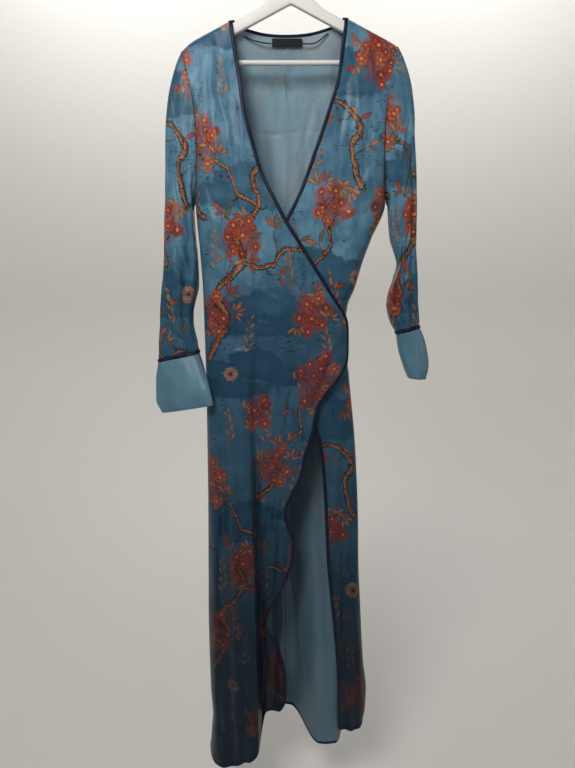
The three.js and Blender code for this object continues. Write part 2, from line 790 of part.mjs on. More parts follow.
function sleeve(rings, SIDE, side, sgn) {
  const grid = rings.map((r, k) => {
    const line = [];
    for (let j = 0; j < AROUND; j++) {
      const p = ring(r, j, smooth(k / 5), sgn);
      if (k < 5) {
        // the armhole's own line, eased into the sleeve's rings
        const m = j <= 8 ? j : AROUND - j,
          z = lerp(SIDE[0].z, SIDE[8].z, ARM_ROWS[m]),
          y = j === 0 ? 0 : j < 8 ? side.yf(z) : j === 8 ? -1 : side.yb(z);
        const a = V(side.x(z) + sgn * 0.7, y, z - (j === 0 ? -0.6 : 0));
        if (k > 0) a.add(V(((r.ox - rings[0].ox) + (r.ix - rings[0].ix)) / 2, 0, (r.oz - rings[0].oz + r.iz - rings[0].iz) / 2));
        const w = k === 0 ? 0 : smooth((k + 0.6) / 5);
        p.lerpVectors(a, p.clone(), w);
        if (k === 0 && j === 8) p.x += sgn * 1.2;
      }
      line.push(p);
    }
    return line;
  });
  const mesh = wall(grid, WALL, sgn < 0 ? 1 : -1, true, (i, j, m) => (i === 0 && j !== 8 ? m.setX(0) : m));
  return { mesh, grid };
}
function cuff(rings, sgn) {
  const grid = rings.map((r) => Array.from({ length: AROUND }, (_, j) => ring(r, j, 0.25, sgn)));
  return { mesh: wall(grid, WALL, sgn < 0 ? 1 : -1, true), grid };
}
// Piping ring between the last ring of the sleeve and the first of the cuff.
function ringPiping(a, b) {
  const n = a.length,
    inner = [],
    outer = [],
    norm = [];
  const mid = V();
  a.forEach((p) => mid.add(p));
  mid.divideScalar(n);
  for (let j = 0; j < n; j++) {
    const e = V().subVectors(b[j], a[j]).normalize();
    inner.push(a[j].clone().addScaledVector(e, 0.6));
    outer.push(b[j].clone().addScaledVector(e, -0.6));
    const t = V().subVectors(a[(j + 1) % n], a[(j + n - 1) % n]);
    const m = t.cross(e).normalize();
    if (m.dot(V().subVectors(a[j], mid)) < 0) m.negate();
    norm.push(m);
  }
  return band(inner, outer, norm, true);
}

// ---------------------------------------------------------------- hanger
const HANGER = { thick: 10, height: 19.6, half: 184, barZ: -163.6, barR: 4.5, drop: 33, hub: 58, hubZ: -56.8 };
function hangerBody() {
  const s = new THREE.Shape(),
    top = (x) => RIDGE_Z - 6 - ARM_SLOPE * Math.abs(x),
    hub = (x) => {
      // the arms widen into a hub that carries the hook
      const a = Math.abs(x),
        z = top(a);
      return a >= HANGER.hub ? z : Math.min(HANGER.hubZ, z + 9 * smooth((HANGER.hub - a) / 26));
    },
    end = HANGER.half;
  const up = [],
    low = [];
  for (let k = -26; k <= 26; k++) {
    const x = (k / 26) * (end - 14);
    if (Math.abs(x) < 64 || k % 4 === 2 || Math.abs(k) === 26) up.push([x, hub(x)]);
  }
  s.moveTo(up[0][0], up[0][1]);
  up.slice(1).forEach(([x, z]) => s.lineTo(x, z));
  // rounded end, reaching down to the bar
  const zEnd = top(end - 14);
  s.lineTo(end - 5, zEnd - 6);
  s.lineTo(end, zEnd - 15);
  s.lineTo(end, zEnd - HANGER.drop + 6);
  s.lineTo(end - 4, zEnd - HANGER.drop);
  s.lineTo(end - 13, zEnd - HANGER.drop);
  s.lineTo(end - 17, zEnd - HANGER.drop + 5);
  for (let k = 8; k >= -8; k--) {
    const x = (k / 8) * (end - 24);
    low.push([x, top(Math.sqrt(x * x + 2)) - HANGER.height]);
  }
  low.forEach(([x, z]) => s.lineTo(x, z));
  s.lineTo(-(end - 17), zEnd - HANGER.drop + 5);
  s.lineTo(-(end - 13), zEnd - HANGER.drop);
  s.lineTo(-(end - 4), zEnd - HANGER.drop);
  s.lineTo(-end, zEnd - HANGER.drop + 6);
  s.lineTo(-end, zEnd - 15);
  s.lineTo(-(end - 5), zEnd - 6);
  s.closePath();
  const g = new THREE.ExtrudeGeometry(s, {
    depth: HANGER.thick - 3,
    bevelEnabled: true,
    bevelThickness: 1.5,
    bevelSize: 1.5,
    bevelOffset: -1.5,
    bevelSegments: 1,
    curveSegments: 4,
  });
  g.rotateX(Math.PI / 2);
  g.translate(0, (HANGER.thick - 3) / 2, 0);
  return g;
}
const HOOK = table(
  ["x", "z"],
  [0, -55.4],
  [0, -51],
  [1.5, -46],
  [8, -41],
  [16, -35],
  [21, -27],
  [22, -20],
  [19, -9],
  [11, -1],
  [0, 2],
  [-11, -1],
  [-19, -9],
  [-22, -20],
  [-20.5, -28],
);
const HOOK_R = 2;
function tube(points, r, sides, steps) {
  const shape = new THREE.Shape();
  for (let k = 0; k < sides; k++) {
    const a = (k / sides) * 2 * Math.PI;
    k ? shape.lineTo(r * Math.cos(a), r * Math.sin(a)) : shape.moveTo(r, 0);
  }
  shape.closePath();
  return new THREE.ExtrudeGeometry(shape, {
    steps,
    bevelEnabled: false,
    extrudePath: new THREE.CatmullRomCurve3(points),
  });
}

// ---------------------------------------------------------------- the garment
const root = new THREE.Group();
const robe = new THREE.Group();
const hanger = new THREE.Group();
root.add(robe, hanger);
const LOOK = {
  print: { color: 0x587c92, roughness: 0.42, metalness: 0 },
  plain: { color: 0x6f93a8, roughness: 0.45, metalness: 0 },
  navy: { color: 0x1b2436, roughness: 0.5, metalness: 0 },
  label: { color: 0x14181f, roughness: 0.6, metalness: 0 },
  white: { color: 0xf2f1ee, roughness: 0.45, metalness: 0 },
  steel: { color: 0xc8cacc, roughness: 0.25, metalness: 1 },
};
function add(group, name, geo, look) {
  const m = new THREE.Mesh(geo, new THREE.MeshStandardMaterial({ ...LOOK[look], side: THREE.DoubleSide }));
  m.name = name;
  group.add(m);
  return m;
}

const over = frontPanel("over"),
  under = frontPanel("under"),
  backR = backPanel("right"),
  backL = backPanel("left");
add(robe, "front_over", over.mesh, "print");
add(robe, "front_under", under.mesh, "print");
add(robe, "back_right", backR.mesh, "print");
add(robe, "back_left", backL.mesh, "print");
add(robe, "binding_over", over.piping, "navy");
add(robe, "binding_under", under.piping, "navy");
add(robe, "hem_back_right", backR.hem, "navy");
add(robe, "hem_back_left", backL.hem, "navy");

const slR = sleeve(SLEEVE_R, SIDE_R, sideR, -1),
  slL = sleeve(SLEEVE_L, SIDE_L, sideL, 1),
  cfR = cuff(CUFF_R, -1),
  cfL = cuff(CUFF_L, 1);
add(robe, "sleeve_right", slR.mesh, "print");
add(robe, "sleeve_left", slL.mesh, "print");
add(robe, "cuff_right", cfR.mesh, "plain");
add(robe, "cuff_left", cfL.mesh, "plain");
add(robe, "cuff_piping_right", ringPiping(slR.grid[13], cfR.grid[0]), "navy");
add(robe, "cuff_piping_left", ringPiping(slL.grid[13], cfL.grid[0]), "navy");

// Back neck binding: along the neckline of both halves of the back, just above their edge.
{
  const line = [...backR.neck.slice(3), ...backL.neck.slice(3).reverse().slice(1)],
    inner = [],
    outer = [],
    norm = [];
  line.forEach((p, k) => {
    const a = line[Math.max(0, k - 1)],
      b = line[Math.min(line.length - 1, k + 1)],
      t = V().subVectors(b, a).normalize(),
      back = V(0, 1, 0.05).normalize(),
      e = V().crossVectors(t, back).normalize();
    if (e.z < 0) e.negate();
    const m = V().crossVectors(t, e).normalize();
    if (m.y < 0) m.negate();
    inner.push(p.clone().addScaledVector(e, 0.5));
    outer.push(p.clone().addScaledVector(e, 4.3));
    norm.push(m);
  });
  add(robe, "neck_binding", band(inner, outer, norm), "navy");
}

// Neck label: a bare woven tab hanging inside the back neck.
const LABEL = { x0: -33.5, x1: 19.8, top: -117.5, low: -131, thick: 0.8, clear: 2.6 };
{
  const grid = [];
  for (let i = 0; i <= 3; i++) {
    const z = lerp(LABEL.top, LABEL.low, i / 3),
      line = [];
    for (let j = 0; j <= 6; j++) {
      const x = lerp(LABEL.x0, LABEL.x1, j / 6);
      line.push(V(x, 16.2 + (LABEL.top - z) * 0.1, z));
    }
    grid.push(line);
  }
  add(robe, "neck_label", wall(grid, LABEL.thick, 1), "label");
}

// Hanging loop: a thin satin tape in two visible stretches, sewn in at both ends of the back neck and held by the label.
const LOOP_R = 1.1;
const LOOP_RIGHT = table(["x", "y", "z"], [-82, 9.3, -117], [-70, 11.2, -121.2], [-56, 12.6, -124.6], [-45, 13.2, -126.2], [-34.6, 13.4, -127.2]);
const LOOP_LEFT = table(["x", "y", "z"], [21, 13.4, -127.2], [32, 13.2, -127.4], [42, 12.6, -126.6], [52, 11.6, -121.5], [60, 10.6, -115], [66, 9.6, -111.5]);
for (const [name, rows] of [
  ["hanging_loop_right", LOOP_RIGHT],
  ["hanging_loop_left", LOOP_LEFT],
])
  add(robe, name, tube(rows.map((r) => V(r.x, r.y, r.z)), LOOP_R, 6, 12), "navy");

// ---------------------------------------------------------------- the hanger
add(hanger, "hanger_body", hangerBody(), "white");
{
  const bar = new THREE.CylinderGeometry(HANGER.barR, HANGER.barR, 2 * (HANGER.half - 21.5), 16);
  bar.rotateZ(Math.PI / 2);
  const m = add(hanger, "trouser_bar", bar, "white");
  m.position.set(0, 0, HANGER.barZ);
}
add(hanger, "hanger_hook", tube(HOOK.map((p) => V(p.x, 0, p.z)), HOOK_R, 10, 44), "steel");

export default root;
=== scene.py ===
import math

import bpy
import numpy as np
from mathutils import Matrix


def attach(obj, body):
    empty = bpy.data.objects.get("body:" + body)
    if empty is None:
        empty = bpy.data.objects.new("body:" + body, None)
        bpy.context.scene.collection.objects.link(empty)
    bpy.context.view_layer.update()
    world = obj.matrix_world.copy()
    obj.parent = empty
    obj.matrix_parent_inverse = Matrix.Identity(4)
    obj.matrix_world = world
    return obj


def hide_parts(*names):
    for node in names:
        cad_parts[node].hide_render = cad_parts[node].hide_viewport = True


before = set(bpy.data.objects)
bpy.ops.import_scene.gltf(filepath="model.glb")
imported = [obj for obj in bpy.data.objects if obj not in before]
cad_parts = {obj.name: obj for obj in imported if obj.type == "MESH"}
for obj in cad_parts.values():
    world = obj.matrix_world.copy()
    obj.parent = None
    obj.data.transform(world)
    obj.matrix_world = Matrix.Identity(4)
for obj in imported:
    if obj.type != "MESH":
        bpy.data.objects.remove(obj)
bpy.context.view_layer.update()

# A long wrap robe of printed satin on its hanger. Sizes in millimetres until a mesh is made.
WALL, SEAM, PIPE_W, HEM_W = 0.9, 0.25, 5.2, 4.2
RIDGE_R, SEAM_Y, ARM_SLOPE, RIDGE_Z, CENTRE_X = 9.5, -5.0, 0.5, -43.5, -8.0
NECK_X = {"left": 93.5, "right": -102.0}
NECK_LOW, FLUTE_FRONT = -107.0, -10.0
ARM_ROWS = np.array([0, 0.016, 0.06, 0.15, 0.31, 0.5, 0.7, 0.87, 1])


def table(names, rows):
    a = np.array(rows, float)
    return {n: a[:, k] for k, n in enumerate(names.split())}


SIDE_R = table("z x yf yb", [
    (-146, -190, -5, -5),
    (-150, -189, -8, 8),
    (-162, -186.5, -12, 12),
    (-190, -179, -19, 18),
    (-235, -170, -25, 23),
    (-290, -166.5, -26, 24),
    (-345, -167, -19, 18),
    (-385, -170, -9, 8),
    (-405, -172.3, -2, -2),
    (-485, -167, -2, -2),
    (-554, -163, -2, -2),
    (-621, -162, -2, -2),
    (-712, -160.6, -3, -3),
    (-804, -160.3, -5, -5),
    (-922, -160.4, -8, -8),
    (-1094, -162.5, -10, -10),
    (-1212, -163.7, -12, -12),
    (-1351, -162, -14, -14),
    (-1408, -159, -15, -15),
    (-1450, -162, -16, -16),
    (-1487, -165, -18, -18),
])
SIDE_L = table("z x yf yb", [
    (-138, 186, -5, -5),
    (-142, 185, -8, 8),
    (-154, 183, -12, 12),
    (-182, 176, -19, 18),
    (-228, 168, -25, 23),
    (-285, 165, -26, 24),
    (-342, 166, -19, 18),
    (-382, 169.5, -9, 8),
    (-402, 171.4, -2, -2),
    (-467, 147, -2, -2),
    (-510, 131.5, -2, -2),
    (-554, 119, -2, -2),
    (-587, 106, -2, -2),
    (-632, 102, -2, -2),
    (-712, 110, -1, -1),
    (-782, 117.8, 0, 0),
    (-853, 124.8, 0, 0),
    (-999, 133.3, 0, 0),
    (-1100, 136.1, 0, 0),
    (-1177, 140.6, 0, 0),
    (-1310, 149.3, 0, 0),
    (-1373, 156.5, 0, 0),
    (-1412, 155.5, 0, 0),
    (-1446, 150.5, 0, 0),
])
EDGE_OVER = table("z x", [
    (-99.5, -102.2),
    (-147, -95.1),
    (-201, -86),
    (-252, -79),
    (-302, -65.5),
    (-353, -50.2),
    (-398, -27.7),
    (-440, -5.1),
    (-481, 21.3),
    (-523, 48.2),
    (-572, 79.6),
    (-600, 98),
    (-618, 106.5),
    (-650, 108),
    (-684, 107),
    (-706, 99),
    (-733, 81),
    (-755, 62.5),
    (-782, 50),
    (-810, 46),
    (-865, 30.5),
    (-913, 21),
    (-950, 3),
    (-976, -8),
    (-1000, -6.5),
    (-1047, 8.7),
    (-1085, 4.9),
    (-1152, -18),
    (-1205, -45),
    (-1226, -49),
    (-1260, -33.5),
    (-1313, -14.2),
    (-1360, -8),
    (-1396, -8),
    (-1427, -20),
])
EDGE_UNDER = table("z x", [
    (-95.8, 93.5),
    (-147.5, 86.6),
    (-199, 79.5),
    (-250, 64),
    (-301, 47),
    (-344, 31.5),
    (-385, 15.9),
    (-427, -5),
    (-470, -27),
    (-520, -55),
    (-570, -85),
    (-610, -104),
    (-640, -110),
    (-670, -108),
    (-700, -92),
    (-730, -62),
    (-760, -22),
    (-785, 14),
    (-812, 43),
    (-850, 55),
    (-935, 63.5),
    (-1092, 72.3),
    (-1212, 84.5),
    (-1317, 93.9),
    (-1400, 97),
    (-1447, 97.6),
])
DROP = table("d front back", [
    (0, 0, 0),
    (1.4, -5, 5),
    (4.5, -8, 8),
    (9.5, -9.5, 9.5),
    (22, -11, 15),
    (48, -15, 24),
    (100, -27, 33),
    (150, -36, 38),
    (200, -42, 41),
    (260, -46, 42),
    (330, -47, 42),
])
DEPTH = table("z over over_in fold fold_w under back flute flute_x", [
    (-100, -44, -44, -146, 40, -40, 41, 0, 60),
    (-200, -44, -44, -134, 40, -40, 41, 0, 60),
    (-300, -44, -44, -118, 40, -40, 41, 0, 60),
    (-440, -49, -49, -95, 40, -42, 42, 0, 60),
    (-520, -48, -47, -84, 40, -38, 38, 0, 60),
    (-600, -46, -43, -78, 38, -31, 34, 0, 60),
    (-650, -44, -39, -75, 32, -28, 34, 0, 60),
    (-700, -44, -37, -73, 26, -27, 36, 0, 60),
    (-760, -46, -37, -72, 18, -27, 40, 0.02, 62),
    (-815, -49, -37, -71, 14, -27, 44, 0.06, 64),
    (-900, -53, -31, -70, 12, -26, 52, 0.2, 66),
    (-1000, -57, -24, -68, 11, -25, 60, 0.4, 68),
    (-1100, -61, -17, -66, 10, -25, 68, 0.58, 70),
    (-1200, -65, -11, -64, 10, -25, 76, 0.75, 72),
    (-1300, -69, -5, -62, 10, -25, 84, 0.88, 73),
    (-1425, -73, -1, -60, 9, -25, 92, 0.98, 74),
    (-1500, -75, 1, -59, 9, -25, 95, 1, 74),
])
HEM_OVER = table("x z", [
    (-165, -1487),
    (-149, -1495),
    (-128, -1496),
    (-90, -1485),
    (-72, -1475),
    (-63, -1460),
    (-57, -1436),
    (-48, -1426),
    (-20, -1427),
])
HEM_UNDER = table("x z", [
    (97.6, -1447),
    (114, -1452),
    (131, -1456),
    (143, -1453),
    (150.5, -1446),
])
HEM_BACK = table("x z", [
    (-165, -1487),
    (-120, -1490),
    (-60, -1484),
    (-15, -1476),
    (26, -1486),
    (50, -1491),
    (73, -1494),
    (98, -1490),
    (118, -1480),
    (136, -1464),
    (150.5, -1446),
])
SLEEVE_R = table("ox oz ix iz df db oy iy", [
    (-190, -146, -172.3, -405, 26, 24, 0, 0),
    (-204, -163, -173.5, -421, 27, 25, 0, 0),
    (-214, -190, -172.5, -446, 27, 26, 0, 0),
    (-219.5, -222, -171.5, -474, 27, 26, 0, 0),
    (-222, -265, -170.8, -502, 27, 27, 0, 0),
    (-225, -315, -170.5, -528, 27, 27, 0, 0),
    (-227, -365, -171, -549, 26, 27, 0, 0),
    (-229, -415, -175, -566, 26, 26, 0, 0),
    (-232, -465, -180, -583, 25, 26, 0, 0),
    (-235, -515, -183, -601, 24, 25, 0, 0),
    (-239, -560, -182.5, -619, 23, 24, 0, 0),
    (-243, -605, -179, -636, 22, 22, 0, -2),
    (-246.5, -648, -174, -653, 20, 20, -2, -5),
    (-249, -686, -171.5, -668, 18, 18, -4, -8),
])
SLEEVE_L = table("ox oz ix iz df db oy iy", [
    (186, -138, 171.4, -402, 26, 24, 0, 0),
    (199, -154, 172.6, -416, 27, 25, 0, 0),
    (208.5, -178, 174.5, -433, 27, 26, 0, 0),
    (214, -205, 178, -452, 27, 26, 0, 0),
    (218, -240, 183, -470, 27, 27, 0, 0),
    (221, -285, 189, -488, 27, 27, 0, 0),
    (224, -330, 194, -503, 26, 27, 0, 0),
    (226.5, -375, 196.5, -518, 26, 26, 0, 0),
    (228, -420, 193, -535, 26, 26, 0, 0),
    (230, -465, 187, -552, 25, 25, 0, 0),
    (232, -508, 181.5, -568, 25, 25, 0, 0),
    (235, -550, 180, -585, 24, 24, 0, 0),
    (238, -592, 185, -608, 22, 22, 0, 0),
    (240.5, -622, 196, -634, 20, 20, 0, 0),
])
CUFF_R = table("ox oz ix iz df db oy iy", [
    (-250, -692.5, -170.5, -674.5, 17, 17, -4, -9),
    (-254.5, -728, -157, -712, 15, 15, -7, -32),
    (-255, -762, -147, -741, 14, 14, -9, -47),
    (-245, -788, -141, -765, 14, 14, -10, -52),
])
CUFF_L = table("ox oz ix iz df db oy iy", [
    (242, -628, 198.5, -640.5, 20, 20, 0, 0),
    (252, -655, 204, -670, 21, 21, 0, 0),
    (260.5, -697, 213, -698, 22, 22, 0, 0),
    (256, -724, 224, -723, 22, 22, 0, 0),
])
SLEEVE_FOLDS = table("angle width depth", [
    (62, 16, 0.28),
    (118, 14, 0.34),
    (238, 18, 0.3),
    (292, 15, 0.25),
])
HOOK = table("x z", [
    (0, -55.4),
    (0, -51),
    (1.5, -46),
    (8, -41),
    (16, -35),
    (21, -27),
    (22, -20),
    (19, -9),
    (11, -1),
    (0, 2),
    (-11, -1),
    (-19, -9),
    (-22, -20),
    (-20.5, -28),
])
LOOP_RIGHT = table("x y z", [
    (-82, 9.3, -117),
    (-70, 11.2, -121.2),
    (-56, 12.6, -124.6),
    (-45, 13.2, -126.2),
    (-34.6, 13.4, -127.2),
])
LOOP_LEFT = table("x y z", [
    (21, 13.4, -127.2),
    (32, 13.2, -127.4),
    (42, 12.6, -126.6),
    (52, 11.6, -121.5),
    (60, 10.6, -115),
    (66, 9.6, -111.5),
])
FOLDS = {
    "over": [
        (-128, -620, -118, -1500, 13, 9),
        (-98, -700, -92, -1500, 10, 7),
        (-150, -430, -140, -1200, 9, 5),
        (20, -560, -20, -900, 16, 6),
        (-20, -640, -36, -1430, 9, 6),
        (-120, -210, -96, -560, 13, 4),
    ],
    "under": [
        (92, -760, 112, -1450, 8, 5),
        (120, -860, 134, -1450, 7, 5),
        (130, -180, 60, -560, 13, 4),
    ],
    "back": [
        (-128, -620, -132, -1490, 14, -14),
        (-84, -480, -88, -1490, 14, -16),
        (-42, -700, -40, -1480, 12, -12),
        (118, -820, 128, -1470, 9, -12),
        (70, -300, 60, -700, 14, -7),
    ],
}


# ------------------------------------------------------------------ curves through the tables
def smooth(t):
    u = np.clip(t, 0, 1)
    return u * u * (3 - 2 * u)


def lerp(a, b, t):
    return a + (b - a) * t


def curve(xs, ys):
    """Monotone cubic through the rows, flat beyond both ends."""
    xs, ys = np.array(xs, float), np.array(ys, float)
    if xs[-1] < xs[0]:
        xs, ys = xs[::-1], ys[::-1]
    h = np.diff(xs)
    d = np.diff(ys) / h
    m = np.zeros(len(xs))
    m[0], m[-1] = d[0], d[-1]
    for i in range(1, len(xs) - 1):
        if d[i - 1] * d[i] > 0:
            m[i] = (3 * (h[i - 1] + h[i])) / ((2 * h[i] + h[i - 1]) / d[i - 1] + (h[i] + 2 * h[i - 1]) / d[i])

    def at(x):
        x = np.clip(np.asarray(x, float), xs[0], xs[-1])
        i = np.clip(np.searchsorted(xs, x, side="right") - 1, 0, len(h) - 1)
        t = (x - xs[i]) / h[i]
        t2, t3 = t * t, t * t * t
        return ys[i] * (2 * t3 - 3 * t2 + 1) + h[i] * m[i] * (t3 - 2 * t2 + t) + ys[i + 1] * (3 * t2 - 2 * t3) + h[i] * m[i + 1] * (t3 - t2)

    return at


class Fn:
    def __init__(self, tab, key):
        for n in tab:
            if n != key:
                setattr(self, n, curve(tab[key], tab[n]))


side_r, side_l, drop, depth = Fn(SIDE_R, "z"), Fn(SIDE_L, "z"), Fn(DROP, "d"), Fn(DEPTH, "z")
edge_over, edge_under = curve(EDGE_OVER["z"], EDGE_OVER["x"]), curve(EDGE_UNDER["z"], EDGE_UNDER["x"])
hem_over, hem_under, hem_back = (curve(t["x"], t["z"]) for t in (HEM_OVER, HEM_UNDER, HEM_BACK))


def ridge(x):
    a = np.abs(x)
    e = np.maximum(0, a - 165)
    return RIDGE_Z - ARM_SLOPE * a - np.where(x < 0, 0.011, 0.004) * e * e


def bulge(u):
    return np.sqrt(np.maximum(0, 1 - (1 - np.clip(u, 0, 1)) ** 2))


# ------------------------------------------------------------------ noise
def _hash(i, j, seed):
    n = (i * 374761393 + j * 668265263 + seed * 974711) & 0xFFFFFFFF
    n = ((n ^ (n >> 13)) * 1274126177) & 0xFFFFFFFF
    return ((n ^ (n >> 16)) & 0xFFFF) / 65535.0


def noise(x, y, seed=0):
    """Smooth value noise, -1 to 1."""
    xi, yi = np.floor(x).astype(np.int64), np.floor(y).astype(np.int64)
    fx, fy = x - xi, y - yi
    u, v = fx * fx * fx * (fx * (fx * 6 - 15) + 10), fy * fy * fy * (fy * (fy * 6 - 15) + 10)
    a, b = _hash(xi, yi, seed), _hash(xi + 1, yi, seed)
    c, d = _hash(xi, yi + 1, seed), _hash(xi + 1, yi + 1, seed)
    return 2 * lerp(lerp(a, b, u), lerp(c, d, u), v) - 1


# ------------------------------------------------------------------ folds
def troughs(rows, x, z):
    s = np.zeros(np.broadcast(x, z).shape)
    for x0, z0, x1, z1, w, amp in rows:
        t = (z0 - z) / (z0 - z1)
        fade = np.where((t > 0) & (t <= 1.3), np.sin(np.minimum(1, t * 1.6) * math.pi / 2), 0)
        s = s + amp * fade * np.exp(-(((x - lerp(x0, x1, t)) / w) ** 2))
    return s


# Fine creases, listed one by one: a line from (x0, z0) to (x1, z1), its half width and height (+ stands out, - lies
# in), fading at both ends.
FINE = {
    "over": [
        (-98, -640, -112, -1400, 15, 5.2), (-60, -620, -74, -1440, 12, -6.2), (-14, -660, -28, -1250, 17, 4.4), (-146, -700, -148, -1400, 9, 2.4), (-124, -700, -132, -1400, 7, -2.0), (34, -660, 4, -860, 6, -2.6),
        (-118, -690, -128, -1050, 8, -2.4), (-150, -150, -120, -330, 9, 1.8), (-128, -150, -98, -400, 8, -2.2), (-108, -160, -70, -420, 7, 1.6),
        (-168, -360, -96, -440, 9, -2.4), (-166, -400, -70, -500, 10, 2.0), (-165, -455, -60, -540, 9, -2.0),
        (-60, -395, 60, -590, 7, 1.8), (-90, -440, 66, -628, 8, -2.2), (-120, -520, 78, -655, 8, 2.0),
        (-120, -600, 84, -680, 7, -1.8), (-40, -560, 96, -640, 5, 1.6), (10, -560, 100, -625, 4, -1.4),
        (84, -640, 40, -770, 7, 2.6), (92, -660, 2, -840, 8, -2.8), (70, -650, -34, -900, 9, 2.6),
        (40, -640, -58, -980, 9, -2.6), (0, -630, -52, -1100, 8, 2.4), (-30, -640, -96, -1180, 8, -2.2),
        (-66, -620, -120, -1260, 10, 2.6), (-100, -600, -142, -1300, 8, -2.2), (-140, -620, -150, -1350, 7, 2.0),
        (-20, -900, -44, -1390, 6, 2.2), (-6, -960, -30, -1300, 5, -2.0), (-66, -1150, -72, -1480, 6, -2.2),
        (-96, -1200, -104, -1490, 7, 2.4), (-136, -1250, -140, -1492, 6, -2.0), (-116, -1330, -112, -1490, 5, -1.6),
        (-164, -700, -120, -760, 8, -1.4), (-160, -880, -90, -935, 9, 1.2), (-158, -1010, -100, -1060, 7, -1.2),
    ],
    "under": [
        (104, -760, 112, -1440, 14, -3.4), (134, -800, 140, -1440, 14, 3.2), (130, -150, 96, -330, 9, 1.8), (150, -190, 104, -420, 9, -2.2), (116, -150, 74, -330, 7, -1.6),
        (160, -330, 92, -440, 8, 2.0), (166, -390, 80, -500, 9, -2.2), (160, -430, 96, -560, 8, 1.8),
        (166, -280, 130, -300, 5, -1.4), (150, -262, 172, -276, 4, 1.5), (112, -560, 80, -600, 6, 1.2),
        (104, -800, 76, -1000, 6, 2.0), (112, -850, 118, -1200, 6, -2.2), (96, -960, 104, -1430, 5, 2.0),
        (128, -1000, 142, -1400, 6, 2.0), (82, -900, 90, -1300, 4, -1.4),
    ],
    "back": [
        (-60, -180, -30, -420, 9, -1.8), (40, -170, 20, -480, 9, 1.6), (-100, -240, -60, -560, 10, 2.0),
        (90, -220, 60, -520, 9, -1.8), (-20, -640, -60, -1300, 8, 2.4), (-110, -700, -104, -1480, 7, -2.6),
        (-64, -800, -62, -1480, 7, 2.6), (-26, -980, -20, -1470, 6, -2.2), (30, -700, 40, -1000, 8, 2.0),
        (96, -700, 108, -1450, 6, 2.0), (134, -900, 140, -1440, 5, -1.6), (-144, -900, -146, -1480, 6, 2.0),
        (4, -1060, 14, -1470, 5, 2.0), (22, -1150, 30, -1480, 4.5, -2.0), (60, -1180, 58, -1485, 4, 1.6),
        (-6, -1180, 60, -1470, 5, 1.2),
    ],
}
# Creases across, left from folding: height z, half width, height.
PRESSED = {
    "over": [(-598, 3.0, 0.7), (-1478, 2.6, 1.2), (-1040, 3.0, -0.8)],
    "under": [(-222, 3.0, 0.6), (-1044, 3.0, 0.8)],
    "back": [(-270, 3.0, 1.0), (-628, 3.2, -0.8), (-1120, 3.0, 1.2), (-1205, 2.6, -0.7)],
}


def fine(kind, x, z):
    s = np.zeros(np.broadcast(x, z).shape)
    for x0, z0, x1, z1, w, amp in FINE[kind]:
        dx, dz = x1 - x0, z1 - z0
        l2 = dx * dx + dz * dz
        t = ((x - x0) * dx + (z - z0) * dz) / l2
        wob = 5 * np.sin(t * 5 + x0) + 2.5 * np.sin(t * 13 + z0)
        q = ((x - x0) * dz - (z - z0) * dx) / math.sqrt(l2) + wob
        fade = np.where((t > 0) & (t < 1), np.sin(np.clip(t, 0, 1) * math.pi) ** 0.7, 0)
        s = s + amp * fade / (1 + (q / w) ** 2) ** 1.6
    for z0, w, amp in PRESSED[kind]:
        q = (z - z0 - 3 * np.sin(x / 60) - 1.5 * np.sin(x / 17)) / w
        s = s + 1.8 * amp * np.exp(-np.abs(q)) * (0.55 + 0.45 * noise(x / 40, z * 0 + z0, 5))
    n = 1.7 * noise(x / 30, z / 170, 11) + 1.2 * noise(x / 15 + z / 90, z / 60, 12) + 0.6 * noise(x / 8, z / 24, 13) + 0.25 * noise(x / 4.5, z / 12, 14)
    return 1.45 * s + n


def front_y(kind, x, z, detail=True):
    d = np.maximum(0, ridge(x) - z)
    low = smooth((d - 220) / 90)
    if kind == "over":
        k = smooth((x - depth.fold(z)) / depth.fold_w(z) + 0.5)
        deep = lerp(depth.over(z), depth.over_in(z), k)
    else:
        deep = depth.under(z)
    deep = lerp(drop.front(d) - (1.5 if kind == "over" else 0) * smooth(d / 60), deep, low)
    xl, xr = side_r.x(z), side_l.x(z) + (9 if kind == "over" else 0)
    gl, gr = bulge((x - xl) / 44), bulge((xr - x) / 40)
    g = np.minimum(gl, gr)
    left = side_r.yf(z) if kind == "over" else np.where(x < 0, side_r.yf(z), side_l.yf(z))
    at = np.where(x < 0, left, side_l.yf(z))
    y = lerp(np.minimum(deep, at), at + (deep - at) * g, smooth(d / 30)) + troughs(FOLDS[kind], x, z) * g
    if detail:
        y = y - fine(kind, x, z) * np.minimum(1, g * 1.4) * smooth(d / 22)
    return y


def flute_at(x, z):
    u = x - depth.flute_x(z)
    return np.where(u < 0, smooth(1 + (u + 14) / 58), smooth(1 - (u - 22) / 20))


def back_y(x, z, detail=True):
    d = np.maximum(0, ridge(x) - z)
    low = smooth((d - 220) / 90)
    k = depth.flute(z)
    u = x - depth.flute_x(z)
    shape = flute_at(x, z)
    deep = depth.back(z) * (1 - 0.5 * k * smooth(u / 20))
    deep = lerp(deep, lerp(deep, FLUTE_FRONT, k), shape)
    deep = lerp(drop.back(d), deep, low)
    at = np.where(x < CENTRE_X, side_r.yb(z), side_l.yb(z))
    g = np.minimum(bulge((x - side_r.x(z)) / 40), bulge((side_l.x(z) - x) / 34))
    y = lerp(np.maximum(deep, at), at + (deep - at) * g, smooth(d / 30)) - troughs(FOLDS["back"], x, z) * g * (1 - 0.8 * shape * k)
    if detail:
        y = y + fine("back", x, z) * np.minimum(1, g * 1.4) * smooth(d / 22) * (1 - 0.5 * shape * k)
    return y


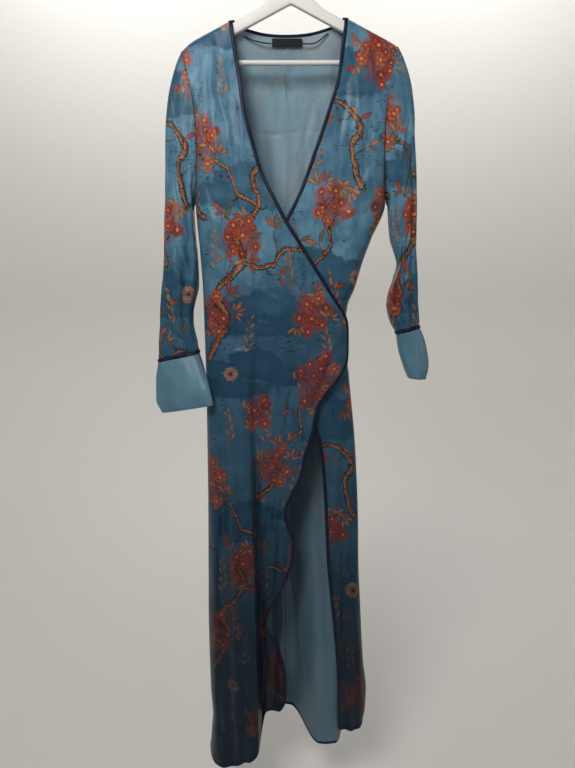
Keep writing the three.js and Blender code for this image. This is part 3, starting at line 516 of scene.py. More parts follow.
# ------------------------------------------------------------------ grids of the panels (outer faces)
def front_grid(kind, NR, NC):
    over = kind == "over"
    side, edge, hem = (side_r, edge_over, hem_over) if over else (side_l, edge_under, hem_under)
    sign = 1 if over else -1
    tip, neck = (-190.0, NECK_X["right"]) if over else (186.0, NECK_X["left"])

    def bound(z):
        s = (edge(z - 4) - edge(z + 4)) / 8
        return edge(z) - sign * (PIPE_W * 0.5) * np.hypot(1, s)

    u = np.linspace(0, 1, NC)
    u = u + 0.0 * u
    tx = lerp(tip, neck, u)
    for _ in range(8):
        z = ridge(tx) - 1.4
        tx = lerp(side.x(z), bound(z), u)
        tx[0] = tip
    top = ridge(tx) - 1.4
    zb = np.full(NC, -1440.0)
    for _ in range(30):
        zb = 0.5 * zb + 0.5 * (hem(lerp(side.x(zb), bound(zb), u)) + HEM_W * 0.5)
    v = np.linspace(0, 1, NR)[:, None]
    z = lerp(top[None], zb[None], v)
    x = lerp(side.x(z), bound(z), u[None])
    x[0] = tx
    y = front_y(kind, x, z)
    y[:, 0] = side.yf(z[:, 0]) - SEAM
    y[0] = SEAM_Y - SEAM
    y[0, 0] = SEAM_Y - SEAM
    return np.stack([x, y, z], -1)


def back_grid(which, NR, NC):
    right = which == "right"
    side = side_r if right else side_l
    sign = 1 if right else -1
    neck_x = NECK_X[which]
    tip = -190.0 if right else 186.0
    cx = CENTRE_X - sign * SEAM * 0.6
    s0 = 0.46 if right else 0.47
    neck_z = float(ridge(np.array(neck_x)))
    n0 = int(NC * 0.5)
    u = np.concatenate([np.linspace(0, s0, n0), s0 + (1 - s0) * np.array([0.012, 0.025, 0.04, 0.055, 0.075]), np.linspace(s0 + (1 - s0) * 0.1, 1, NC - n0 - 5)])
    on = u > s0 + 1e-9
    t = np.where(on, (u - s0) / (1 - s0), 0)
    top_x = np.where(on, lerp(neck_x, cx, t), lerp(tip, neck_x, u / s0))
    neck_top = np.where(on, lerp(neck_z, NECK_LOW, np.sin(t * math.pi / 2) ** 0.8), ridge(top_x))
    a0 = lerp(-0.52, 1.15, np.clip(t / 0.055, 0, 1))
    a2 = np.maximum(a0 + 0.24, 0.58)
    stand = 11 * smooth((t - 0.05) * 1.6)
    rows = []
    for k in np.linspace(0, 1, 7):
        a = lerp(a0, a2, k)
        y = RIDGE_R * np.sin(a) + stand
        z = neck_top - RIDGE_R * (1 - np.cos(a))
        if k == 0:
            y = np.where(on, y, SEAM_Y + SEAM)
            y[0] = SEAM_Y + SEAM
        rows.append(np.stack([top_x + 0 * y, y, z], -1))
    top = rows[-1][:, 2]
    arc_y = rows[-1][:, 1]
    zb = np.full(len(u), -1470.0)
    for _ in range(30):
        zb = 0.5 * zb + 0.5 * (hem_back(lerp(side.x(zb), cx, u)) + HEM_W * 0.5)
    v = (np.linspace(0, 1, NR - 6)[1:])[:, None]
    z = lerp(top[None], zb[None], v)
    w = np.clip(1 - (top - z) / 120, 0, 1) ** 2
    x = lerp(lerp(side.x(z), cx, u), top_x[None], w)
    x[:, 0] = side.x(z[:, 0])
    y = back_y(x, z)
    k = smooth((top - z) / 80)
    y = np.where(on[None], lerp(np.maximum(RIDGE_R, arc_y)[None] + (top - z) * 0.12, y, k), lerp(np.maximum(arc_y[None], y * 0 + arc_y), y, smooth((top - z) / 12)))
    y[:, 0] = side.yb(z[:, 0]) + SEAM
    body = np.stack([x, y, z], -1)
    P = np.concatenate([np.stack(rows), body], 0)
    if not right:  # the turning laps under the other half at the centre seam
        row = np.arange(len(P))
        for back, over, lift, plain in ((1, 2.6, 1.3, 0.0), (2, 0.7, 1.3, -0.8), (3, -0.9, 0.9, -1.7)):
            P[:, -back, 0] = cx - lerp(plain, over, smooth((row - 9) / 3))
            P[:, -back, 1] = P[:, -4, 1] - lift * smooth((row - 5) / 4)
            P[:7, -back, 2] = P[:7, -4, 2]
    return P, u, s0


def ring_fn(tab):
    q = np.arange(len(tab["ox"]))
    return {n: curve(q, tab[n]) for n in tab}


def signed_pow(c, p):
    return np.sign(c) * np.abs(c) ** p


def sleeve_ring(f, k, a, strength):
    c, s = np.cos(a), np.sin(a)
    pc, ps = signed_pow(c, 0.85), signed_pow(s, 0.8)
    deg = np.degrees(a)
    cut = 0
    for ang, wid, dep in zip(SLEEVE_FOLDS["angle"], SLEEVE_FOLDS["width"], SLEEVE_FOLDS["depth"]):
        cut = cut + dep * np.exp(-(((deg - ang) / wid) ** 2))
    ox, oz, ix, iz, oy, iy = (f[n](k) for n in ("ox", "oz", "ix", "iz", "oy", "iy"))
    d = np.where(s > 0, f["df"](k), f["db"](k))
    return np.stack([
        (ox + ix) / 2 + (ox - ix) / 2 * pc,
        lerp(iy, oy, (pc + 1) / 2) - d * ps * (1 - cut * strength),
        (oz + iz) / 2 + (oz - iz) / 2 * pc,
    ], -1)


SLEEVE_CREASES = [  # ring place, angle in degrees, half widths, height: pinches at the elbow and above the cuff
    (3.2, 90, 0.25, 40, 2.0), (5.0, 70, 0.22, 35, -2.2), (6.4, 110, 0.25, 45, 2.4), (7.3, 80, 0.2, 40, -2.4),
    (8.1, 100, 0.2, 40, 2.2), (9.0, 65, 0.2, 30, -1.8), (10.4, 100, 0.22, 45, 1.8), (11.6, 80, 0.2, 40, -1.8),
    (12.4, 110, 0.18, 36, 1.6), (4.2, 260, 0.3, 50, 2.0), (6.8, 280, 0.25, 50, -2.2), (8.6, 250, 0.25, 45, 2.0), (10.9, 270, 0.2, 40, -1.8),
]


def sleeve_grid(tab, SIDE, side, sgn, NR, NC, seed):
    f = ring_fn(tab)
    k = np.linspace(0, 13, NR)[:, None]
    j = np.arange(NC)[None] * 16.0 / NC
    a = j / 16 * 2 * math.pi
    K, A = np.broadcast_arrays(k, a)
    p = sleeve_ring(f, K, A, smooth(K / 5))
    m = np.where(j <= 8, j, 16 - j)
    arm = curve(np.arange(9), ARM_ROWS)(m)
    z = lerp(SIDE["z"][0], SIDE["z"][8], arm)
    y = np.where(j <= 8, side.yf(z), side.yb(z))
    base = np.stack(np.broadcast_arrays(side.x(z) + sgn * 0.7, y, z), -1)
    r0 = {n: float(f[n](0)) for n in f}
    shift = np.stack(np.broadcast_arrays((f["ox"](K) - r0["ox"] + f["ix"](K) - r0["ix"]) / 2, 0 * K, (f["oz"](K) - r0["oz"] + f["iz"](K) - r0["iz"]) / 2), -1)
    w = np.where(K <= 0, 0, smooth((K + 0.6 * np.minimum(1, K)) / 5))[..., None]
    p = lerp(base + shift, p, w)
    mid = p.mean(1, keepdims=True)
    out = p - mid
    out[..., 2] *= 0.3
    out /= np.linalg.norm(out, axis=-1, keepdims=True) + 1e-9
    deg = np.degrees(A)
    h = 0
    for kk, ang, wk, wa, amp in SLEEVE_CREASES:
        slope = (deg - ang) / 90 * 0.5
        h = h + amp * np.exp(-np.abs((K - kk - slope + 0.25 * np.sin(deg / 23 + seed)) / wk) ** 1.4 - ((deg - ang) / wa) ** 2)
    lz = p[..., 2]
    c6 = np.cos(A) * 3
    s6 = np.sin(A) * 3
    h = h + 1.5 * noise(c6 + 7, lz / 60 + s6, seed) + 0.9 * noise(c6 * 2 + 3, lz / 26 + s6 * 2, seed + 1) + 0.4 * noise(c6 * 4, lz / 11 + s6 * 4, seed + 2)
    fade = smooth(K / 0.8) * smooth((13 - K) / 0.35) * (0.35 + 0.65 * np.abs(np.sin(A)) ** 0.5)
    return p + out * (1.3 * h * fade)[..., None], p


def cuff_grid(tab, NR, NC, seed):
    f = ring_fn(tab)
    k = np.linspace(0, 3, NR)[:, None]
    a = np.arange(NC)[None] / NC * 2 * math.pi
    K, A = np.broadcast_arrays(k, a)
    p = sleeve_ring(f, K, A, 0.25 + 0 * K)
    out = p - p.mean(1, keepdims=True)
    out[..., 2] *= 0.3
    out /= np.linalg.norm(out, axis=-1, keepdims=True) + 1e-9
    h = 0.9 * noise(np.cos(A) * 3 + 5, p[..., 2] / 45 + np.sin(A) * 3, seed) + 0.35 * noise(np.cos(A) * 8, p[..., 2] / 15 + np.sin(A) * 8, seed + 3)
    return p + out * (h * smooth(K / 0.3))[..., None]




# ------------------------------------------------------------------ the printed design, one repeat of the cloth
TILE_S, TILE_T = 520.0, 610.0
rng = np.random.default_rng(7)


def spline(pts, n=7):
    p = np.array(pts, float)
    out = []
    for i in range(len(p) - 1):
        a, b, c, d = p[max(i - 1, 0)], p[i], p[i + 1], p[min(i + 2, len(p) - 1)]
        for t in np.linspace(0, 1, n, endpoint=False):
            out.append(0.5 * ((2 * b) + (c - a) * t + (2 * a - 5 * b + 4 * c - d) * t * t + (3 * b - a - 3 * c + d) * t ** 3))
    return np.array(out + [p[-1]])


# Boughs: s across, t down the cloth, half width.
BOUGHS = [
    [(40, 640, 8), (78, 575, 7.5), (62, 520, 7), (112, 470, 6.6), (98, 418, 6.2), (150, 372, 5.8), (140, 318, 5.4), (196, 270, 4.8), (188, 214, 4.2), (240, 168, 3.4), (236, 118, 2.6), (268, 84, 1.6)],
    [(112, 470, 5), (160, 478, 4.4), (196, 446, 3.8), (246, 452, 3.2), (276, 420, 2.4), (312, 418, 1.5)],
    [(150, 372, 4.4), (104, 352, 3.8), (84, 308, 3.2), (40, 292, 2.6), (22, 250, 1.6)],
    [(560, 392, 7), (506, 352, 6.4), (482, 304, 6), (428, 292, 5.4), (404, 240, 4.8), (418, 184, 4.2), (384, 140, 3.4), (398, 84, 2.8), (372, 40, 1.8)],
    [(428, 292, 4.4), (388, 316, 3.8), (352, 300, 3.2), (322, 322, 2.4), (296, 312, 1.5)],
    [(418, 184, 3.8), (458, 158, 3.2), (466, 114, 2.6), (502, 88, 1.6)],
    [(330, 650, 6), (352, 590, 5.6), (334, 548, 5.2), (380, 508, 4.6), (430, 516, 4), (458, 478, 3.2), (500, 470, 1.8)],
]
TWIGS = []
for path in BOUGHS:
    q = spline(path, 5)
    for k in range(4, len(q) - 2, 4):
        d = q[k + 1, :2] - q[k, :2]
        d /= np.hypot(*d) + 1e-9
        side = 1 if rng.random() < 0.5 else -1
        a = math.atan2(d[1], d[0]) + side * rng.uniform(0.6, 1.2)
        ln = rng.uniform(22, 46)
        p0 = q[k, :2]
        p1 = p0 + 0.5 * ln * np.array([math.cos(a), math.sin(a)])
        a += side * rng.uniform(-0.7, 0.3)
        p2 = p1 + 0.5 * ln * np.array([math.cos(a), math.sin(a)])
        TWIGS.append([(*p0, 1.7), (*p1, 1.3), (*p2, 0.9)])


def in_tile(c, r, pad):
    """Copies of a mark that reach into the repeat."""
    for ds in (-TILE_S, 0, TILE_S):
        for dt in (-TILE_T, 0, TILE_T):
            x, y = c[0] + ds, c[1] + dt
            if -r - pad < x < TILE_S + r + pad and -r - pad < y < TILE_T + r + pad:
                yield x, y


def gap_wrapped(a, b):
    dx = abs(a[0] - b[0]) % TILE_S
    dy = abs(a[1] - b[1]) % TILE_T
    return math.hypot(min(dx, TILE_S - dx), min(dy, TILE_T - dy))


# Round and long marks: (s, t, size, turn, tint), in layers whose marks keep clear of each other.
BLOOM = [[], []]
MUM = []
LEAF = [[], []]
CLUSTERS = [
    (262, 74, 38, 8), (196, 240, 34, 6), (30, 262, 36, 7), (110, 430, 30, 5), (300, 428, 38, 8),
    (384, 66, 30, 5), (498, 98, 36, 7), (440, 270, 32, 6), (470, 480, 38, 8), (140, 130, 24, 3), (240, 560, 30, 5), (60, 560, 26, 4),
]
for cs, ct, cr, count in CLUSTERS:
    for lay in (0, 1):
        tries = 0
        made = 0
        while made < 1.05 * count * (1 if lay == 0 else 0.75) and tries < 600:
            tries += 1
            a, q = rng.uniform(0, 2 * math.pi), 1.15 * cr * rng.random() ** 0.6
            p = (cs + q * math.cos(a), ct + 1.15 * q * math.sin(a))
            r = rng.uniform(9.5, 14.0) * (1 if lay == 0 else 0.9)
            if all(gap_wrapped(p, m) > 0.86 * (r + m[2]) for m in BLOOM[lay]):
                BLOOM[lay].append((*p, r, rng.uniform(0, 6.28), rng.random()))
                made += 1
for cs, ct, r in [(330, 196, 17), (424, 388, 18), (84, 60, 15)]:
    MUM.append((cs, ct, r, rng.uniform(0, 6.28), rng.random()))


def add_leaf(lay, s, t, ln, turn, tint):
    if all(gap_wrapped((s, t), m) > 0.62 * (ln + m[2]) for m in LEAF[lay]):
        LEAF[lay].append((s, t, ln, turn, tint))


for path in TWIGS:
    p1, p2 = np.array(path[1][:2]), np.array(path[2][:2])
    a = math.atan2(*(p2 - p1)[::-1])
    for off in (-0.75, 0.05, 0.85):
        ln = rng.uniform(10, 15)
        c = p2 + (ln + 1) * np.array([math.cos(a + off), math.sin(a + off)])
        add_leaf(int(rng.integers(0, 2)), c[0], c[1], ln, a + off, rng.random())
TUFTS = [(q[-1][0], q[-1][1]) for q in BOUGHS]
for cs, ct, cr, count in CLUSTERS:
    for k in range(4):
        a = rng.uniform(0, 6.28)
        TUFTS.append((cs + 1.25 * cr * math.cos(a), ct + 1.3 * cr * math.sin(a)))
for cs, ct in TUFTS:  # fans of narrow pointed leaves
    lean = rng.uniform(0, 6.28)
    for k in range(5):
        a = lean + (k - 2) * 0.62
        ln = rng.uniform(8, 12)
        add_leaf(k % 2, cs + (ln + 3) * math.cos(a), ct + (ln + 3) * math.sin(a), ln, a, 0.3 + 0.3 * rng.random())
for s, t, turn in [(250, 250, -1.2), (86, 190, -1.8), (330, 372, -1.4), (470, 560, -1.5), (206, 520, -1.7), (370, 250, -1.3), (20, 400, -1.5), (420, 20, -1.9), (116, 20, -1.4), (300, 150, -1.7), (240, 320, -1.4), (506, 30, -1.6), (160, 190, -1.5), (60, 480, -1.6), (410, 560, -1.2), (280, 30, -1.9)]:
    for k in range(8):  # upright sprays of narrow leaves
        u = k / 7
        sgn = 1 if k % 2 else -1
        px, py = s + 34 * u * math.cos(turn), t + 58 * u * math.sin(turn)
        a = turn + sgn * (0.75 - 0.35 * u)
        add_leaf(k % 2, px + 9 * math.cos(a), py + 9 * math.sin(a), 10 - 3 * u, a, 0.45 + 0.35 * rng.random())
HILLS = [  # banks of mist and hill: rounds (s, t, radius across, radius down)
    (60, 60, 70, 26), (130, 48, 60, 34), (200, 66, 54, 22), (20, 84, 60, 20), (96, 90, 80, 18),
    (340, 196, 64, 30), (420, 180, 70, 38), (490, 204, 60, 26), (380, 224, 90, 20), (290, 214, 46, 16),
    (120, 330, 60, 30), (190, 342, 66, 24), (60, 352, 56, 22), (140, 366, 100, 18),
    (330, 452, 70, 32), (410, 440, 60, 36), (470, 462, 64, 24), (380, 484, 110, 20),
    (80, 560, 70, 24), (160, 548, 60, 34), (230, 566, 70, 24), (140, 588, 110, 16),
]


def segments(paths, n, thin, jog):
    out = []
    for p in paths:
        q = spline(p, n)
        q[1:-1, :2] += rng.normal(0, jog, (len(q) - 2, 2))
        q[:, 2] = q[:, 2] * thin * rng.uniform(0.75, 1.3, len(q))
        out += [(*a, *b, k) for k, (a, b) in enumerate(zip(q[:-1], q[1:]))]
    return np.array(out)


SEG_BOUGH, SEG_TWIG = segments(BOUGHS, 5, 0.62, 1.7), segments(TWIGS, 4, 0.9, 1.2)


def line_field(s, t, segs, reach):
    """Signed distance over half width, plain distance over half width, and place along, to the nearest of the lines."""
    best = np.full(s.shape, 1e9)
    sign = np.ones(s.shape)
    along = np.zeros(s.shape)
    for ds in (-TILE_S, 0, TILE_S):
        for dt in (-TILE_T, 0, TILE_T):
            for x0, y0, w0, x1, y1, w1, k in segs:
                x0_, x1_, y0_, y1_ = x0 + ds, x1 + ds, y0 + dt, y1 + dt
                if max(x0_, x1_) < -reach or min(x0_, x1_) > TILE_S + reach or max(y0_, y1_) < -reach or min(y0_, y1_) > TILE_T + reach:
                    continue
                near = np.where((s > min(x0_, x1_) - reach) & (s < max(x0_, x1_) + reach) & (t > min(y0_, y1_) - reach) & (t < max(y0_, y1_) + reach))[0]
                if not len(near):
                    continue
                S, T = s[near], t[near]
                dx, dy = x1_ - x0_, y1_ - y0_
                l2 = dx * dx + dy * dy + 1e-9
                u = np.clip(((S - x0_) * dx + (T - y0_) * dy) / l2, 0, 1)
                w = w0 + (w1 - w0) * u
                ex, ey = S - (x0_ + dx * u), T - (y0_ + dy * u)
                d = np.hypot(ex, ey) / w
                hit = d < best[near]
                idx = near[hit]
                best[idx] = d[hit]
                sign[idx] = np.where((dx * ey - dy * ex)[hit] >= 0, 1, -1)
                along[idx] = (k + u[hit]) * math.sqrt(l2)
    best = np.minimum(best, 9)
    return np.stack([sign * best, best, along / 100], -1)


def mark_field(s, t, marks, aspect):
    """Place in the nearest mark's own axes, and its tint. aspect is length over width."""
    best = np.full(s.shape, 4.0)
    uv = np.full(s.shape + (2,), 4.0)
    tint = np.zeros(s.shape)
    for cs, ct, r, turn, col in marks:
        c, q = math.cos(turn), math.sin(turn)
        for x, y in in_tile((cs, ct), r * 2.4, 6):
            near = np.where((np.abs(s - x) < r * 2.4) & (np.abs(t - y) < r * 2.4))[0]
            if not len(near):
                continue
            ds, dt = s[near] - x, t[near] - y
            u, v = (ds * c + dt * q) / r, (-ds * q + dt * c) / r * aspect
            d = np.hypot(u, v)
            hit = d < best[near]
            idx = near[hit]
            best[idx] = d[hit]
            uv[idx, 0], uv[idx, 1] = u[hit], v[hit]
            tint[idx] = col
    return np.concatenate([uv, best[..., None]], -1), tint


def cloud_field(s, t):
    """Nearness to the flower clusters: 0 at a heart, 1 at the rim."""
    best = np.full(s.shape, 3.0)
    for cs, ct, cr, count in CLUSTERS:
        for x, y in in_tile((cs, ct), cr * 2, 6):
            best = np.minimum(best, np.hypot(s - x, (t - y) / 1.15) / (cr * 1.2))
    return best


def hill_field(s, t):
    best = np.full(s.shape, 3.0)
    for cs, ct, a, b in HILLS:
        for x, y in in_tile((cs, ct), a * 1.5, 10):
            dy = t - y
            q = np.hypot((s - x) / a, dy / np.where(dy > 0, b * 0.8, b))
            best = np.minimum(best, (q - 1) * b / 10)
    return best


def design(S, T, ds, dt):
    """All print fields at flat places (S, T) mm, for a panel cut at (ds, dt) in the repeat."""
    shape = S.shape
    s, t = np.mod(S.ravel() + ds, TILE_S), np.mod(T.ravel() + dt, TILE_T)
    out = {"bough": line_field(s, t, SEG_BOUGH, 24), "twig": line_field(s, t, SEG_TWIG, 9)}
    tints = []
    for name, marks, aspect in (("bloom_a", BLOOM[0], 1), ("bloom_b", BLOOM[1], 1), ("mum", MUM, 1), ("leaf_a", LEAF[0], 2.9), ("leaf_b", LEAF[1], 2.9)):
        out[name], c = mark_field(s, t, marks, aspect)
        tints.append(c)
    out["tint_a"] = np.stack([tints[0], tints[1], tints[2]], -1)
    out["tint_b"] = np.stack([tints[3], tints[4], hill_field(s, t)], -1)
    out["glow"] = np.stack([cloud_field(s, t), s * 0, s * 0], -1)
    return {k: v.reshape(shape + (3,)) for k, v in out.items()}




# ------------------------------------------------------------------ materials
def lin(h):
    c = [int(h[i : i + 2], 16) / 255 for i in (0, 2, 4)]
    return tuple([x / 12.92 if x <= 0.04045 else ((x + 0.055) / 1.055) ** 2.4 for x in c] + [1.0])


class Nodes:
    def __init__(self, name):
        self.mat = bpy.data.materials.new(name)
        self.mat.use_nodes = True
        self.t = self.mat.node_tree
        self.bsdf = next(n for n in self.t.nodes if n.type == "BSDF_PRINCIPLED")

    def link(self, value, socket):
        if isinstance(value, bpy.types.NodeSocket):
            self.t.links.new(value, socket)
        else:
            socket.default_value = value

    def m(self, op, a, b=None, c=None, clamp=False):
        n = self.t.nodes.new("ShaderNodeMath")
        n.operation, n.use_clamp = op, clamp
        for k, v in enumerate((a, b, c)):
            if v is not None:
                self.link(v, n.inputs[k])
        return n.outputs[0]

    def step(self, v, lo, hi, a=0.0, b=1.0):
        """a below lo, b above hi, smooth between."""
        n = self.t.nodes.new("ShaderNodeMapRange")
        n.interpolation_type = "SMOOTHSTEP"
        self.link(v, n.inputs[0])
        for k, x in enumerate((lo, hi, a, b)):
            self.link(x, n.inputs[k + 1])
        return n.outputs[0]

    def mix(self, f, a, b):
        n = self.t.nodes.new("ShaderNodeMix")
        n.data_type = "RGBA"
        self.link(f, n.inputs[0])
        self.link(a, n.inputs[6])
        self.link(b, n.inputs[7])
        return n.outputs[2]

    def attr(self, name):
        n = self.t.nodes.new("ShaderNodeAttribute")
        n.attribute_type, n.attribute_name = "GEOMETRY", name
        s = self.t.nodes.new("ShaderNodeSeparateXYZ")
        self.t.links.new(n.outputs["Vector"], s.inputs[0])
        return (*s.outputs, n.outputs["Vector"])

    def noise(self, vec, scale, detail=2.0, rough=0.5):
        n = self.t.nodes.new("ShaderNodeTexNoise")
        n.inputs["Scale"].default_value, n.inputs["Detail"].default_value, n.inputs["Roughness"].default_value = scale, detail, rough
        self.link(vec, n.inputs["Vector"])
        return n.outputs[0]

    def scaled(self, vec, v):
        n = self.t.nodes.new("ShaderNodeVectorMath")
        n.operation = "MULTIPLY"
        self.link(vec, n.inputs[0])
        n.inputs[1].default_value = v
        return n.outputs[0]

    def bump(self, height, strength, distance):
        n = self.t.nodes.new("ShaderNodeBump")
        n.inputs["Strength"].default_value, n.inputs["Distance"].default_value = strength, distance
        self.link(height, n.inputs["Height"])
        self.t.links.new(n.outputs[0], self.bsdf.inputs["Normal"])

    def set(self, **kw):
        for k, v in kw.items():
            self.link(v, self.bsdf.inputs[k.replace("_", " ")])
        return self.mat


BASE, PALE, TEAL, DEEP = lin("507b96"), lin("6a97b0"), lin("214c65"), lin("164463")
CORAL, CORAL_D, CORAL_L = lin("a5402a"), lin("6d241b"), lin("c4643f")
OCHRE, BROWN, INK = lin("b17c52"), lin("84512f"), lin("10141c")
CREAM, PINK, OLIVE, GOLD = lin("b99a80"), lin("8f5a4c"), lin("5d5a38"), lin("c28a4e")


def paint(g):
    """The print's colour, and the cloth's flat coordinates (attribute fab)."""
    fab = g.attr("fab")
    ta, tb = g.attr("tint_a"), g.attr("tint_b")
    glow = g.attr("glow")
    cloud = g.noise(g.scaled(fab[3], (9.0, 13.0, 1.0)), 1.0, 4.0, 0.6)
    wash = g.noise(g.scaled(fab[3], (60.0, 14.0, 1.0)), 1.0, 3.0, 0.6)
    grit = g.noise(fab[3], 130.0, 3.0, 0.65)
    tooth = g.noise(fab[3], 230.0, 2.0, 0.6)
    # low and lower rise down the cloth; they drive the darkening towards the hem, partly dye and partly painted shade
    low = g.step(fab[1], 0.36, 0.66)
    lower = g.step(fab[1], 0.75, 1.3)
    col = g.mix(g.step(cloud, 0.40, 0.64), BASE, PALE)
    col = g.mix(g.m("MULTIPLY", g.step(wash, 0.42, 0.75), 0.45), col, TEAL)
    col = g.mix(g.m("MULTIPLY", g.step(g.noise(fab[3], 5.2, 3.0, 0.6), 0.47, 0.62), 0.38), col, TEAL)
    # darker towards the skirt: partly deeper dye, partly painted shade where the light falls off downwards
    col = g.mix(g.m("MULTIPLY", low, 0.50), col, DEEP)
    col = g.mix(g.m("MULTIPLY", lower, 0.62), col, lin("0b2a42"))
    # banks of mist with soft, broken edges and a shaded crest
    edge = g.m("ADD", tb[2], g.m("MULTIPLY", g.m("SUBTRACT", g.noise(fab[3], 42.0, 4.0, 0.65), 0.5), 3.6))
    bank = g.step(edge, -0.35, 0.25, 1.0, 0.0)
    inner = g.step(edge, -3.2, -0.2)
    shade = g.mix(inner, g.mix(0.55, TEAL, BASE), TEAL)
    # the banks darken lower down too: partly deeper dye, partly painted shade of the light falling off downwards
    shade = g.mix(g.m("MULTIPLY", g.m("ADD", g.m("MULTIPLY", low, 0.55), g.m("MULTIPLY", lower, 0.25)), 1.0), shade, DEEP)
    col = g.mix(g.m("MULTIPLY", bank, g.step(cloud, 0.30, 0.6, 0.55, 0.85)), col, shade)

    def over(mask, c):
        nonlocal col
        col = g.mix(mask, col, c)

    # short dark strokes and dots along the banks
    ring = g.m("MULTIPLY", g.step(edge, -0.2, 0.5), g.step(edge, 1.6, 3.2, 1.0, 0.0))
    dash = g.m("MULTIPLY", g.step(g.noise(g.scaled(fab[3], (110.0, 300.0, 1.0)), 1.0, 1.0), 0.59, 0.65), g.step(g.noise(fab[3], 22.0, 2.0), 0.44, 0.56))
    over(g.m("MULTIPLY", g.m("MULTIPLY", ring, dash), 0.75), INK)
    blade = g.step(g.noise(g.scaled(fab[3], (330.0, 60.0, 1.0)), 1.0, 1.0), 0.64, 0.69)
    tuft = g.step(g.noise(fab[3], 16.0, 2.0), 0.56, 0.64)
    over(g.m("MULTIPLY", g.m("MULTIPLY", tuft, blade), 0.7), INK)
    # coral bleeding round the flowers
    halo = g.m("ADD", glow[0], g.m("MULTIPLY", g.m("SUBTRACT", g.noise(fab[3], 34.0, 4.0, 0.6), 0.5), 1.7))
    over(g.m("MULTIPLY", g.step(halo, 0.5, 1.12, 1.0, 0.0), 0.7), g.mix(g.step(grit, 0.35, 0.65), CORAL_D, lin("9c3f2b")))
    # twigs
    tw = g.attr("twig")
    a = g.m("ABSOLUTE", g.m("ADD", tw[0], g.m("MULTIPLY", g.m("SUBTRACT", tooth, 0.5), 1.6)))
    over(g.m("MULTIPLY", g.m("MULTIPLY", g.step(a, 0.8, 1.3, 1.0, 0.0), g.step(tw[1], 2.6, 3.4, 1.0, 0.0)), 0.9), g.mix(g.step(grit, 0.4, 0.6), BROWN, INK))

    def leaves(name, tint):
        lf = g.attr(name)
        u, v = lf[0], g.m("ABSOLUTE", lf[1])
        w = g.m("POWER", g.m("SUBTRACT", 1.0, g.m("MULTIPLY", u, u), clamp=True), 1.1)
        inside = g.m("SUBTRACT", g.m("ADD", w, g.m("MULTIPLY", g.m("SUBTRACT", tooth, 0.5), 0.9)), v)
        gate = g.step(lf[2], 1.25, 1.4, 1.0, 0.0)
        c = g.mix(g.step(tint, 0.3, 0.5), CORAL, OCHRE)
        c = g.mix(g.m("MULTIPLY", g.step(tint, 0.66, 0.8), 0.8), c, OLIVE)
        c = g.mix(g.m("MULTIPLY", g.step(inside, 0.12, 0.5, 1.0, 0.0), 0.85), c, INK)
        over(g.m("MULTIPLY", g.m("MULTIPLY", g.step(inside, 0.0, 0.12), gate), 0.9), c)

    leaves("leaf_b", tb[1])
    # boughs: a dark, speckled outline round ochre and brown bark
    bo = g.attr("bough")
    rough = g.m("MULTIPLY", g.m("SUBTRACT", g.noise(fab[3], 110.0, 3.0, 0.65), 0.5), 2.2)
    s = g.m("ABSOLUTE", g.m("ADD", bo[0], g.m("MULTIPLY", rough, 0.7)))
    gate = g.step(bo[1], 2.6, 3.4, 1.0, 0.0)
    bark = g.mix(g.step(g.m("ADD", bo[0], rough), -0.6, 0.6), BROWN, OCHRE)
    bark = g.mix(g.m("MULTIPLY", g.step(tooth, 0.53, 0.59), 0.9), bark, INK)
    halo = g.step(g.m("ADD", s, g.m("MULTIPLY", g.m("SUBTRACT", tooth, 0.5), 2.6)), 1.4, 1.8, 1.0, 0.0)
    over(g.m("MULTIPLY", g.m("MULTIPLY", halo, gate), 0.85), INK)
    over(g.m("MULTIPLY", g.m("MULTIPLY", g.step(s, 0.75, 1.1, 1.0, 0.0), gate), 0.95), bark)
    leaves("leaf_a", tb[0])

    def bloom(name, tint, petals, body, dark, light, heart, notch, many, full=1.0):
        b = g.attr(name)
        r = g.m("SQRT", g.m("ADD", g.m("MULTIPLY", b[0], b[0]), g.m("MULTIPLY", b[1], b[1])))
        r = g.m("ADD", r, g.m("ADD", g.m("MULTIPLY", g.m("SUBTRACT", grit, 0.5), 0.55), g.m("MULTIPLY", g.m("SUBTRACT", tooth, 0.5), 0.3)))
        th = g.m("ARCTAN2", b[1], b[0])
        lobe = g.m("ABSOLUTE", g.m("COSINE", g.m("MULTIPLY", th, petals / 2)))
        f = g.m("ADD", 1.0 - notch, g.m("MULTIPLY", g.m("POWER", lobe, 0.6), notch))
        inside = g.m("SUBTRACT", f, r)
        gate = g.step(b[2], 1.12, 1.3, 1.0, 0.0)
        c = g.mix(g.step(tint, 0.2, 0.9), body, light)
        c = g.mix(g.m("MULTIPLY", g.step(lobe, 0.1, 0.6, 1.0, 0.0), 0.75), c, dark)
        c = g.mix(g.m("MULTIPLY", g.step(r, 0.2, 0.7, 1.0, 0.0), 0.6), c, dark)
        c = g.mix(g.m("MULTIPLY", g.step(tooth, 0.46, 0.62), 0.4), c, dark)
        if many:  # rings of narrow petals
            rim = g.m("FRACT", g.m("MULTIPLY", r, 3.2))
            c = g.mix(g.m("MULTIPLY", g.step(rim, 0.7, 0.98), 0.6), c, dark)
            c = g.mix(g.m("MULTIPLY", g.step(grit, 0.5, 0.6), 0.5), c, INK)
        c = g.mix(g.m("MULTIPLY", g.step(r, 0.16, 0.27, 1.0, 0.0), 0.85), c, heart)
        c = g.mix(g.m("MULTIPLY", g.step(inside, 0.05, 0.22, 1.0, 0.0), 0.5), c, dark)
        over(g.m("MULTIPLY", g.m("MULTIPLY", g.step(inside, -0.05, 0.24), gate), full), c)

